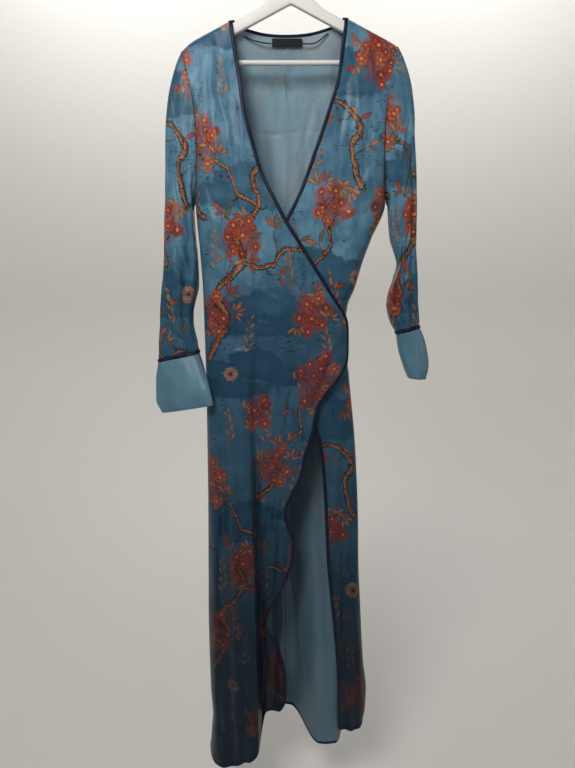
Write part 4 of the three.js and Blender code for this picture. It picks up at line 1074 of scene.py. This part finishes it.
    bloom("mum", ta[2], 16.0, CREAM, PINK, PINK, INK, 0.12, True)
    bloom("bloom_b", ta[1], 5.0, lin("85301f"), lin("4a1613"), CORAL, GOLD, 0.34, False, 0.85)
    bloom("bloom_a", ta[0], 5.0, CORAL, CORAL_D, CORAL_L, lin("d69a74"), 0.34, False, 0.92)
    # darker again lower down: partly darker dye, partly painted shade where the light falls off towards the hem
    col = g.mix(g.m("MULTIPLY", low, 0.36), col, lin("0a2238"))
    col = g.mix(g.m("MULTIPLY", lower, 0.76), col, lin("041220"))
    return col, fab


def stitched(g, col, thread, row):
    """A row of small stitches, row mm in from the edge that attribute rim measures from."""
    rim = g.attr("rim")
    near = g.step(g.m("ABSOLUTE", g.m("SUBTRACT", rim[0], row)), 0.25, 0.45, 1.0, 0.0)
    dash = g.step(g.m("ABSOLUTE", g.m("SUBTRACT", g.m("FRACT", g.m("DIVIDE", rim[1], 3.0)), 0.5)), 0.3, 0.36, 1.0, 0.0)
    mask = g.m("MULTIPLY", near, dash)
    return g.mix(g.m("MULTIPLY", mask, 0.8), col, thread), mask


def satin_weave(g, fab, extra=None):
    h = g.m("MULTIPLY", g.noise(g.scaled(fab[3], (2600.0, 420.0, 1.0)), 1.0, 2.0), 0.5)
    s = g.m("ADD", h, g.m("MULTIPLY", g.noise(g.scaled(fab[3], (60.0, 30.0, 1.0)), 1.0, 3.0), 2.0))
    if extra is not None:
        s = g.m("SUBTRACT", s, g.m("MULTIPLY", extra, 1.2))
    g.bump(s, 0.35, 0.0003)


def mat_print():
    g = Nodes("printed satin")
    col, fab = paint(g)
    col, st = stitched(g, col, lin("1b2434"), 4.4)
    satin_weave(g, fab, st)
    return g.set(Base_Color=col, Roughness=0.38, Specular_IOR_Level=0.24, Anisotropic=0.35)


def mat_wrong():
    g = Nodes("satin wrong side")
    col, fab = paint(g)
    pale = g.mix(g.step(g.noise(g.scaled(fab[3], (14.0, 6.0, 1.0)), 1.0, 3.0), 0.35, 0.7), lin("86a6b6"), lin("9ab4c0"))
    # the pale wrong side darkens towards the hem: painted shade inside the skirt, with some darker dye showing through
    pale = g.mix(g.m("MULTIPLY", g.step(fab[1], 0.4, 1.0), 0.62), pale, lin("35566a"))
    col = g.mix(0.84, col, pale)
    col, st = stitched(g, col, lin("26303f"), 4.4)
    satin_weave(g, fab, st)
    return g.set(Base_Color=col, Roughness=0.55, Specular_IOR_Level=0.25)


def mat_plain():
    g = Nodes("plain satin")
    fab = g.attr("fab")
    c = g.mix(g.step(g.noise(g.scaled(fab[3], (20.0, 12.0, 1.0)), 1.0, 3.0), 0.3, 0.7), lin("4f7287"), lin("5f869b"))
    c, st = stitched(g, c, lin("3c5a6b"), 4.0)
    satin_weave(g, fab, st)
    return g.set(Base_Color=c, Roughness=0.38, Specular_IOR_Level=0.3, Anisotropic=0.3)


def mat_navy():
    g = Nodes("navy piping")
    fab = g.attr("fab")
    n = g.noise(g.scaled(fab[3], (400.0, 60.0, 1.0)), 1.0, 2.0)
    c = g.mix(n, lin("091228"), lin("111c38"))
    twill = g.m("SINE", g.m("MULTIPLY", g.m("ADD", fab[0], fab[1]), 4200.0))
    g.bump(g.m("ADD", g.m("MULTIPLY", twill, 0.3), n), 0.3, 0.0003)
    return g.set(Base_Color=c, Roughness=0.45, Specular_IOR_Level=0.25)


def mat_label():
    g = Nodes("label tape")
    fab = g.attr("fab")
    rib = g.m("SINE", g.m("MULTIPLY", fab[1], 9000.0))
    g.bump(rib, 0.3, 0.0002)
    return g.set(Base_Color=g.mix(g.noise(fab[3], 900.0, 2.0), lin("080b14"), lin("10151f")), Roughness=0.55, Specular_IOR_Level=0.25)


def mat_thread():
    g = Nodes("thread")
    t = g.t.nodes.new("ShaderNodeTexCoord")
    return g.set(Base_Color=g.mix(g.noise(t.outputs["Object"], 900.0, 2.0), lin("10151f"), lin("2b3446")), Roughness=0.6)


def mat_white():
    g = Nodes("white plastic")
    t = g.t.nodes.new("ShaderNodeTexCoord")
    n = g.noise(t.outputs["Object"], 240.0, 3.0)
    g.bump(n, 0.12, 0.0004)
    return g.set(Base_Color=g.mix(n, lin("e9e8e4"), lin("f3f2ef")), Roughness=0.42, Specular_IOR_Level=0.5)


def mat_steel():
    g = Nodes("hook steel")
    t = g.t.nodes.new("ShaderNodeTexCoord")
    n = g.noise(g.scaled(t.outputs["Object"], (300.0, 300.0, 900.0)), 1.0, 2.0)
    g.bump(n, 0.05, 0.0002)
    return g.set(Base_Color=g.mix(n, lin("c4c6c9"), lin("d6d8da")), Metallic=1.0, Roughness=0.2)


M = {"print": mat_print(), "wrong": mat_wrong(), "plain": mat_plain(), "navy": mat_navy(), "label": mat_label(), "thread": mat_thread(), "white": mat_white(), "steel": mat_steel()}




# ------------------------------------------------------------------ meshes
def normals(P, wrap=False):
    di = np.gradient(P, axis=0)
    dj = (np.roll(P, -1, 1) - np.roll(P, 1, 1)) / 2 if wrap else np.gradient(P, axis=1)
    n = np.cross(di, dj)
    return n / (np.linalg.norm(n, axis=-1, keepdims=True) + 1e-12)


def mesh(name, co, quads, mats, index=None, fields=None):
    me = bpy.data.meshes.new(name)
    co = np.asarray(co, float).reshape(-1, 3) * 0.001
    quads = np.asarray(quads, np.int32)
    me.vertices.add(len(co))
    me.vertices.foreach_set("co", co.astype(np.float32).ravel())
    me.loops.add(quads.size)
    me.loops.foreach_set("vertex_index", quads.ravel())
    me.polygons.add(len(quads))
    me.polygons.foreach_set("loop_start", np.arange(0, quads.size, quads.shape[1], dtype=np.int32))
    me.polygons.foreach_set("loop_total", np.full(len(quads), quads.shape[1], np.int32))
    if index is not None:
        me.polygons.foreach_set("material_index", np.asarray(index, np.int32))
    me.polygons.foreach_set("use_smooth", np.ones(len(quads), bool))
    for m in mats:
        me.materials.append(M[m])
    for k, v in (fields or {}).items():
        a = me.attributes.new(k, "FLOAT_VECTOR", "POINT")
        a.data.foreach_set("vector", np.asarray(v, np.float32).ravel())
    me.update(calc_edges=True)
    me.validate()
    o = bpy.data.objects.new(name, me)
    bpy.context.scene.collection.objects.link(o)
    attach(o, "root")
    return o


def quad_grid(R, C, wrap, base=0):
    i, j = np.meshgrid(np.arange(R - 1), np.arange(C if wrap else C - 1), indexing="ij")
    j2 = (j + 1) % C
    a = i * C + j
    b = (i + 1) * C + j
    c = (i + 1) * C + j2
    d = i * C + j2
    return np.stack([a, b, c, d], -1).reshape(-1, 4) + base


def shell(name, P, t, hint, mats, fields, wrap=False, thick_end=None):
    R, C = P.shape[:2]
    N = normals(P, wrap)
    sg = 1.0 if (N * hint).sum() > 0 else -1.0
    N = N * sg
    tt = np.full((R, C, 1), t, float)
    if thick_end is not None:
        tt = tt + thick_end[..., None]
    Q = P - N * tt
    co = np.concatenate([P.reshape(-1, 3), Q.reshape(-1, 3)])
    outer = quad_grid(R, C, wrap)
    inner = quad_grid(R, C, wrap, R * C)[:, ::-1]
    rims = []
    J = np.arange(C if wrap else C - 1)
    J2 = (J + 1) % C
    for row, flip in ((0, False), (R - 1, True)):
        a, b = row * C + J, row * C + J2
        q = np.stack([a, b, b + R * C, a + R * C], -1)
        rims.append(q[:, ::-1] if flip else q)
    if not wrap:
        I = np.arange(R - 1)
        for cl, flip in ((0, True), (C - 1, False)):
            a, b = I * C + cl, (I + 1) * C + cl
            q = np.stack([a, b, b + R * C, a + R * C], -1)
            rims.append(q[:, ::-1] if flip else q)
    rims = np.concatenate(rims)
    quads = np.concatenate([outer, inner, rims])
    if sg < 0:
        quads = quads[:, ::-1]
    idx = np.concatenate([np.zeros(len(outer)), np.ones(len(inner)), np.zeros(len(rims))])
    ff = {k: np.concatenate([v.reshape(-1, 3), v.reshape(-1, 3)]) for k, v in fields.items()}
    o = mesh(name, co, quads, mats, idx, ff)
    return o, N


def strip(name, C, T, N, E, hw, ht, mats, closed=False, sides=12, ends=True, jitter=0.0):
    """A rounded band: C its middle line, N and E its normal and width directions, hw and ht half width and thickness."""
    K = len(C)
    a = np.linspace(0, 2 * math.pi, sides, endpoint=False) + math.pi / sides
    ca, sa = signed_pow(np.cos(a), 0.6), signed_pow(np.sin(a), 0.7)
    arc = np.concatenate([[0], np.cumsum(np.linalg.norm(np.diff(C, axis=0), axis=1))])
    j1 = 1 + jitter * noise(arc / 9, arc * 0 + 3.3, 21)
    j2 = 1 + jitter * noise(arc / 6, arc * 0 + 7.7, 22)
    co = C[:, None] + E[:, None] * (hw * ca)[None, :, None] * j1[:, None, None] + N[:, None] * (ht * sa)[None, :, None] * j2[:, None, None]
    quads = quad_grid(K, sides, True)
    # orientation: E x N against the run of the path
    if (np.cross(E, N) * T).sum() > 0:
        quads = quads[:, ::-1]
    pts = co.reshape(-1, 3)
    if closed:
        last = (K - 1) * sides
        J = np.arange(sides)
        q = np.stack([last + J, J, (J + 1) % sides, last + (J + 1) % sides], -1)
        quads = np.concatenate([quads, q if (np.cross(E, N) * T).sum() <= 0 else q[:, ::-1]])
    else:
        extra = []
        for end, k in ((0, 0), (1, K - 1)):
            m = len(pts)
            pts = np.concatenate([pts, (C[k] + T[k] * (0.35 * ht) * (1 if end else -1))[None]])
            J = k * sides + np.arange(sides)
            J2 = k * sides + (np.arange(sides) + 1) % sides
            q = np.stack([J, J2, np.full(sides, m), np.full(sides, m)], -1)
            extra.append(q[:, [1, 0, 2]] if end else q[:, [0, 1, 2]])
    fab = np.zeros((len(pts), 3))
    fab[: K * sides, 1] = np.repeat(arc, sides) * 0.001
    fab[: K * sides, 0] = np.tile(np.linspace(0, 2 * (hw + ht), sides), K) * 0.001
    if closed:
        return mesh(name, pts, quads, mats, None, {"fab": fab})
    tri = np.concatenate([np.concatenate([quads[:, [0, 1, 2]], quads[:, [0, 2, 3]]]), *extra])
    flipped = (np.cross(E, N) * T).sum() > 0
    if flipped:
        tri[-2 * sides :] = tri[-2 * sides :, ::-1]
    return mesh(name, pts, tri, mats, None, {"fab": fab})


def smooth_line(v, n, keep=True):
    k = np.ones(2 * n + 1) / (2 * n + 1)
    p = np.concatenate([np.repeat(v[:1], n, 0), v, np.repeat(v[-1:], n, 0)])
    out = np.stack([np.convolve(p[:, c], k, "valid") for c in range(v.shape[1])], -1)
    if keep:
        out[0], out[-1] = v[0], v[-1]
    return out


def unit(v):
    return v / (np.linalg.norm(v, axis=-1, keepdims=True) + 1e-12)


def frame_line(C, N, sm=2):
    C = smooth_line(C, sm)
    T = unit(np.gradient(C, axis=0))
    N = smooth_line(N, sm + 1, False)
    N = unit(N - T * (N * T).sum(-1, keepdims=True))
    return C, T, N, np.cross(T, N)


def flat_coords(P, wrap=False, ref=None):
    """Lengths along the cloth: S across from column ref, T down from the shoulder."""
    R, C = P.shape[:2]
    ref = C // 2 if ref is None else ref
    step = np.linalg.norm(np.diff(P, axis=1), axis=-1)
    S = np.concatenate([np.zeros((R, 1)), np.cumsum(step, 1)], 1)
    S = S - S[:, ref : ref + 1]
    T = -(P[..., 2]) - 60.0
    line = P[:, ref]
    arc = np.concatenate([[0], np.cumsum(np.linalg.norm(np.diff(line, axis=0), axis=1))])
    # the reference column keeps its place across as it slants
    S = S + (line[:, 0] - line[0, 0])[:, None] * (1 if P[R // 2, -1, 0] > P[R // 2, 0, 0] else -1)
    return S, T


MADE = {}
FRONT_HINT, BACK_HINT = np.array([0, -1.0, 0]), np.array([0, 1.0, 0])

for kind, NR, NC, off, node, bind in (("over", 400, 112, (35, 20), "front_over", "binding_over"), ("under", 396, 84, (300, 330), "front_under", "binding_under")):
    P = front_grid(kind, NR, NC)
    S, T = flat_coords(P, ref=NC // 3)
    # distance in from the bound edges, and run along them
    dj = np.linalg.norm(np.diff(P, axis=1), axis=-1)
    from_edge = np.concatenate([np.cumsum(dj[:, ::-1], 1)[:, ::-1], np.zeros((NR, 1))], 1) + PIPE_W * 0.5
    di = np.linalg.norm(np.diff(P, axis=0), axis=-1)
    from_hem = np.concatenate([np.cumsum(di[::-1], 0)[::-1], np.zeros((1, NC))], 0) + PIPE_W * 0.5
    arc_e = np.concatenate([[0], np.cumsum(di[:, -1])])[:, None] + 0 * S
    arc_h = np.concatenate([[0], np.cumsum(dj[-1])])[None] + 0 * S
    near_edge = from_edge < from_hem
    rim = np.stack([np.minimum(from_edge, from_hem), np.where(near_edge, arc_e, arc_h), 0 * S], -1)
    fields = design(S, T, *off)
    fields["fab"] = np.stack([S, T, 0 * S], -1) * 0.001
    fields["rim"] = rim
    o, N = shell("robe_" + node, P, WALL, FRONT_HINT, ("print", "wrong"), fields)
    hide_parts(node)
    C = np.concatenate([P[:, -1], P[-1, ::-1][1:]])
    NN = np.concatenate([N[:, -1], N[-1, ::-1][1:]])
    NN[:3] = unit(np.array([0, -0.6, 0.8]))
    C = C - NN * WALL / 2
    C, TT, NN, E = frame_line(C, NN, 3)
    b = strip("robe_" + bind, C, TT, NN, E, 3.3, 1.5, ("navy",), jitter=0.06)
    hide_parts(bind)
    MADE[node], MADE[bind] = o, b

for which, NR, NC, off, node, hem in (("right", 384, 84, (210, 150), "back_right", "hem_back_right"), ("left", 384, 88, (20, 420), "back_left", "hem_back_left")):
    P, u, s0 = back_grid(which, NR, NC)
    S, T = flat_coords(P, ref=P.shape[1] - 1)
    di = np.linalg.norm(np.diff(P, axis=0), axis=-1)
    dj = np.linalg.norm(np.diff(P, axis=1), axis=-1)
    from_hem = np.concatenate([np.cumsum(di[::-1], 0)[::-1], np.zeros((1, P.shape[1]))], 0) + PIPE_W * 0.5
    arc_h = np.concatenate([[0], np.cumsum(dj[-1])])[None] + 0 * S
    fields = design(S, T, *off)
    fields["fab"] = np.stack([S, T, 0 * S], -1) * 0.001
    fields["rim"] = np.stack([from_hem, arc_h, 0 * S], -1)
    o, N = shell("robe_" + node, P, WALL, BACK_HINT, ("print", "wrong"), fields)
    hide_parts(node)
    C = P[-1] - N[-1] * WALL / 2
    C, TT, NN, E = frame_line(C, N[-1], 2)
    b = strip("robe_" + hem, C, TT, NN, E, 2.8, 1.35, ("navy",), jitter=0.06)
    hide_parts(hem)
    MADE[node], MADE[hem] = o, b
    n0 = int(np.searchsorted(u, s0 - 1e-9))
    last = -3 if which == "left" else None
    MADE["neck_" + which] = (P[0, n0 + 1 : last], N[0, n0 + 1 : last])

# neck binding over both halves of the back
PR, NR_ = MADE.pop("neck_right")
PL, NL_ = MADE.pop("neck_left")
C = np.concatenate([PR, PL[::-1]])
NN = np.concatenate([NR_, NL_[::-1]])
C = C - NN * WALL / 2
C, TT, NN, E = frame_line(C, NN, 2)
b = strip("robe_neck_binding", C, TT, NN, E, 2.6, 1.4, ("navy",), jitter=0.05)
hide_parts("neck_binding")
MADE["neck_binding"] = b

for which, tab, SIDE, side, sgn, off, ctab in (("right", SLEEVE_R, SIDE_R, side_r, -1, (150, 300), CUFF_R), ("left", SLEEVE_L, SIDE_L, side_l, 1, (400, 60), CUFF_L)):
    P, flat = sleeve_grid(tab, SIDE, side, sgn, 190, 112, 31 if sgn < 0 else 47)
    C0 = cuff_grid(ctab, 44, 112, 51 if sgn < 0 else 67)
    # around the sleeve, starting at its outer edge
    # across the sleeve laid flat, from its underarm seam round the front, over the outer edge and round the back
    turn = np.arange(112)[None] / 112 * 2 * math.pi + 0 * flat[..., 0]
    xe = np.interp(-flat[..., 2], -flat[:, 0, 2], flat[:, 0, 0])
    lean = np.clip(np.cos(turn) * 4, -1, 1)
    yf, yb = flat[..., 1].min(1, keepdims=True), flat[..., 1].max(1, keepdims=True)
    ahead = sgn * flat[..., 0] + lean * (flat[..., 1] - yf)
    behind = sgn * (2 * xe - flat[..., 0]) + yb - yf - lean * (yb - flat[..., 1])
    S = np.where(turn <= math.pi + 1e-6, ahead, behind)
    T = -P[..., 2] - 60
    fields = design(S, T, *off)
    fields["fab"] = np.stack([S, T, 0 * S], -1) * 0.001
    fields["rim"] = np.stack([99 + 0 * S, S, 0 * S], -1)
    hint = P - P.mean(1, keepdims=True)
    o, N = shell("robe_sleeve_" + which, P, WALL, hint, ("print", "wrong"), fields, wrap=True)
    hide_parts("sleeve_" + which)
    MADE["sleeve_" + which] = o
    step = np.linalg.norm(np.roll(C0, -1, 1) - C0, axis=-1)
    S = np.concatenate([np.zeros((C0.shape[0], 1)), np.cumsum(step, 1)[:, :-1]], 1)
    di = np.linalg.norm(np.diff(C0, axis=0), axis=-1)
    from_end = np.concatenate([np.cumsum(di[::-1], 0)[::-1], np.zeros((1, C0.shape[1]))], 0)
    fld = {"fab": np.stack([S, -C0[..., 2], 0 * S], -1) * 0.001, "rim": np.stack([from_end, S, 0 * S], -1)}
    hint = C0 - C0.mean(1, keepdims=True)
    thick = 0.7 * np.exp(-(from_end / 3.0) ** 2) * 0 + 0.5
    o, _ = shell("robe_cuff_" + which, C0, WALL, hint, ("plain", "plain"), fld, wrap=True, thick_end=thick)
    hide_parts("cuff_" + which)
    MADE["cuff_" + which] = o
    # piping ring between them
    A, B = P[-1], C0[0]
    C = (A + B) / 2
    E = unit(B - A)
    TT = unit((np.roll(C, -1, 0) - np.roll(C, 1, 0)))
    NN = unit(np.cross(TT, E))
    if (NN * (C - C.mean(0))).sum() < 0:
        NN = -NN
    C = C - NN * 0.3
    b = strip("robe_cuff_piping_" + which, C, TT, NN, E, 3.1, 1.7, ("navy",), closed=True)
    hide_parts("cuff_piping_" + which)
    MADE["cuff_piping_" + which] = b

# label: a bare woven tab, gently bowed
xs, zs = np.linspace(-33.5, 19.8, 60), np.linspace(-117.5, -131, 22)
X, Z = np.meshgrid(xs, zs)
Y = 16.2 + (-117.5 - Z) * 0.1 - 0.35 * np.sin((X + 33.5) / 53.3 * math.pi) + 0.2 * noise(X / 14, Z / 9, 81)
P = np.stack([X, Y, Z], -1)
o, N = shell("robe_label", P, 0.7, FRONT_HINT, ("label", "label"), {"fab": np.stack([X, Z, 0 * X], -1) * 0.001})
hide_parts("neck_label")
MADE["label"] = o

TUBES = {}
for which, tab in (("right", LOOP_RIGHT), ("left", LOOP_LEFT)):
    q = np.stack([tab["x"], tab["y"], tab["z"]], -1)
    C = spline(np.concatenate([q, 0 * q[:, :1]], 1), 10)[:, :3]
    T_ = unit(np.gradient(C, axis=0))
    NN = unit(np.cross(T_, np.array([0, 0, 1.0])))
    E = np.cross(T_, NN)
    o = strip("robe_hanging_loop_" + which, C, T_, NN, E, 1.1, 1.1, ("thread",), sides=10)
    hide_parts("hanging_loop_" + which)
    ln = np.linalg.norm(np.diff(C, axis=0), axis=1).sum()
    MADE["loop_" + which] = (o, ln)


# ------------------------------------------------------------------ the hanger
def hanger_outline():
    def top(x):
        return RIDGE_Z - 6 - ARM_SLOPE * abs(x)

    def hub(x):
        z = top(x)
        return z if abs(x) >= 58 else min(-56.8 - 0.004 * x * x, z + 9 * float(smooth((58 - abs(x)) / 26)))

    end, height, dr = 184.0, 19.6, 33.0
    up = [(x, hub(x)) for x in np.linspace(-(end - 14), end - 14, 121)]
    ze = top(end - 14)
    right = [(end - 9, ze - 2.6), (end - 5, ze - 6), (end - 2, ze - 10), (end, ze - 15), (end, ze - dr + 6), (end - 1.2, ze - dr + 2), (end - 4, ze - dr), (end - 13, ze - dr), (end - 16, ze - dr + 2), (end - 17, ze - dr + 5)]
    low = [(x, top(math.sqrt(x * x + 2)) - height) for x in np.linspace(end - 24, -(end - 24), 81)]
    return up + right + low + [(-x, z) for x, z in right[::-1]]


def ring_stack(name, loop, ys, insets, mats):
    """A flat plate from its outline, rounded at both faces: rings at depths ys, each inset."""
    p = np.array(loop)
    t = unit(np.roll(p, -1, 0) - np.roll(p, 1, 0))
    n = np.stack([t[:, 1], -t[:, 0]], -1)
    area = 0.5 * np.sum(p[:, 0] * np.roll(p[:, 1], -1) - np.roll(p[:, 0], -1) * p[:, 1])
    if area > 0:
        n = -n
    K = len(p)
    rows = [np.stack([p[:, 0] + n[:, 0] * q, np.full(K, y), p[:, 1] + n[:, 1] * q], -1) for y, q in zip(ys, insets)]
    co = np.stack(rows)
    quads = quad_grid(len(rows), K, True)
    me = mesh(name, co, quads, mats, None, None)
    import bmesh

    bm = bmesh.new()
    bm.from_mesh(me.data)
    bm.verts.ensure_lookup_table()
    for k in (0, len(rows) - 1):
        bm.faces.new([bm.verts[k * K + i] for i in range(K)])
    bmesh.ops.triangulate(bm, faces=[f for f in bm.faces if len(f.verts) > 4])
    bmesh.ops.recalc_face_normals(bm, faces=bm.faces)
    for f in bm.faces:
        f.smooth = True
    bm.to_mesh(me.data)
    bm.free()
    return me


o = ring_stack("hanger_arms", hanger_outline(), [-5, -4.7, -4.0, -2.9, 2.9, 4.0, 4.7, 5], [2.1, 1.0, 0.3, 0, 0, 0.3, 1.0, 2.1], ("white",))
for p_ in o.data.polygons:
    p_.use_smooth = True
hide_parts("hanger_body")


def tube(name, C, r, mats, sides=20):
    C = np.array(C, float)
    T_ = unit(np.gradient(C, axis=0))
    ref = np.array([0, 1.0, 0]) if abs(T_[0] @ np.array([0, 1.0, 0])) < 0.9 else np.array([0, 0, 1.0])
    NN = unit(ref - T_ * (T_ * ref).sum(-1, keepdims=True))
    E = np.cross(T_, NN)
    K = len(C)
    r = np.broadcast_to(np.asarray(r, float), (K,))
    a = np.linspace(0, 2 * math.pi, sides, endpoint=False)
    co = C[:, None] + (E[:, None] * np.cos(a)[None, :, None] + NN[:, None] * np.sin(a)[None, :, None]) * r[:, None, None]
    quads = quad_grid(K, sides, True)
    pts = co.reshape(-1, 3)
    tri = np.concatenate([quads[:, [0, 1, 2]], quads[:, [0, 2, 3]]])
    m = len(pts)
    pts = np.concatenate([pts, C[:1], C[-1:]])
    J, J2 = np.arange(sides), (np.arange(sides) + 1) % sides
    tri = np.concatenate([tri, np.stack([J2, J, np.full(sides, m)], -1)[:, ::-1] * 1, np.stack([(K - 1) * sides + J, (K - 1) * sides + J2, np.full(sides, m + 1)], -1)[:, ::-1]])
    o = mesh(name, pts, tri, mats, None, None)
    import bmesh

    bm = bmesh.new()
    bm.from_mesh(o.data)
    bmesh.ops.recalc_face_normals(bm, faces=bm.faces)
    bm.to_mesh(o.data)
    bm.free()
    return o


h = np.stack([HOOK["x"], 0 * HOOK["x"], HOOK["z"]], -1)
C = spline(np.concatenate([h, 0 * h[:, :1]], 1), 9)[:, :3]
rad = np.full(len(C), 2.0)
tip = np.linalg.norm(C[-1] - C, axis=1)
rad = np.where(tip < 2.0, np.sqrt(np.maximum(0.02, 1 - ((2.0 - tip) / 2.0) ** 2)) * 2.0, rad)
o = tube("hook", C, rad, ("steel",))
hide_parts("hanger_hook")
bx = np.concatenate([[-162.5, -162.2], np.linspace(-160, 160, 40), [162.2, 162.5]])
o = tube("bar", np.stack([bx, 0 * bx, 0 * bx - 163.6], -1), np.concatenate([[4.1, 4.4], np.full(40, 4.5), [4.4, 4.1]]), ("white",), 28)
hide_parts("trouser_bar")


# ------------------------------------------------------------------ floor, light, camera
def stage_material(name, colour, rough):
    g = Nodes(name)
    t = g.t.nodes.new("ShaderNodeTexCoord")
    n = g.noise(t.outputs["Object"], 5.0, 3.0)
    return g.set(Base_Color=g.mix(n, colour, tuple(c * 0.985 for c in colour[:3]) + (1.0,)), Roughness=rough, Specular_IOR_Level=0.1)


FLOOR_Z = -1.62
me = bpy.data.meshes.new("floor")
rim = [(0.0, FLOOR_Z), (0.7, FLOOR_Z), (1.4, FLOOR_Z), (2.1, FLOOR_Z)]
rim += [(2.1 + 1.0 * math.sin(a), FLOOR_Z + 1.0 * (1 - math.cos(a))) for a in np.linspace(0, math.pi / 2, 14)[1:]]
rim += [(3.1, 1.0), (3.1, 3.6)]
around = np.linspace(0, 2 * math.pi, 97)[:-1]
vs = [(r * math.cos(a), r * math.sin(a), z) for r, z in rim[1:] for a in around] + [(0, 0, FLOOR_Z)]
fs = [(k * 96 + i, (k + 1) * 96 + i, (k + 1) * 96 + (i + 1) % 96, k * 96 + (i + 1) % 96) for k in range(len(rim) - 2) for i in range(96)]
fs += [(i, (i + 1) % 96, len(vs) - 1) for i in range(96)]
me.from_pydata(vs, [], fs)
for p_ in me.polygons:
    p_.use_smooth = True
me.materials.append(stage_material("floor", lin("dcdad6"), 0.9))
floor = bpy.data.objects.new("floor", me)
bpy.context.scene.collection.objects.link(floor)

world = bpy.data.worlds.new("studio")
bpy.context.scene.world = world
world.use_nodes = True
bg = world.node_tree.nodes["Background"]
bg.inputs[0].default_value = (0.86, 0.89, 0.93, 1)
bg.inputs[1].default_value = 0.13


def area(name, loc, target, size, power, colour=(1, 1, 1)):
    l = bpy.data.lights.new(name, "AREA")
    l.shape, l.size, l.size_y, l.energy, l.color = "RECTANGLE", size[0], size[1], power, colour
    o = bpy.data.objects.new(name, l)
    o.location = loc
    from mathutils import Vector

    o.rotation_euler = (Vector(target) - Vector(loc)).to_track_quat("-Z", "Y").to_euler()
    o.visible_camera = False
    bpy.context.scene.collection.objects.link(o)
    return o


area("key", (-0.55, -1.36, 0.62), (0, 0, -0.3), (0.7, 0.7), 20.5, (1.0, 0.985, 0.96))
area("fill", (1.7, -2.0, -0.1), (0, 0, -0.6), (1.4, 1.4), 2, (0.93, 0.96, 1.0))
area("back", (0.6, 1.7, 0.5), (0, 0, -0.6), (1.6, 1.6), 7)
area("wall_left", (-0.9, 1.75, 1.9), (-0.8, 3.1, 0.5), (1.0, 1.0), 27)
area("wall_right", (0.9, 1.75, 1.9), (0.8, 3.1, 0.5), (1.0, 1.0), 25)

cam = bpy.data.cameras.new("camera")
cam.lens, cam.sensor_width, cam.sensor_fit = 28.125, 36.0, "AUTO"
cam.clip_start, cam.clip_end = 0.01, 60
co = bpy.data.objects.new("camera", cam)
co.location = (-0.006, -1.130, -0.556)
co.rotation_euler = (math.radians(81), 0, 0)
bpy.context.scene.collection.objects.link(co)
bpy.context.scene.camera = co
bpy.context.scene.view_settings.view_transform = "Standard"
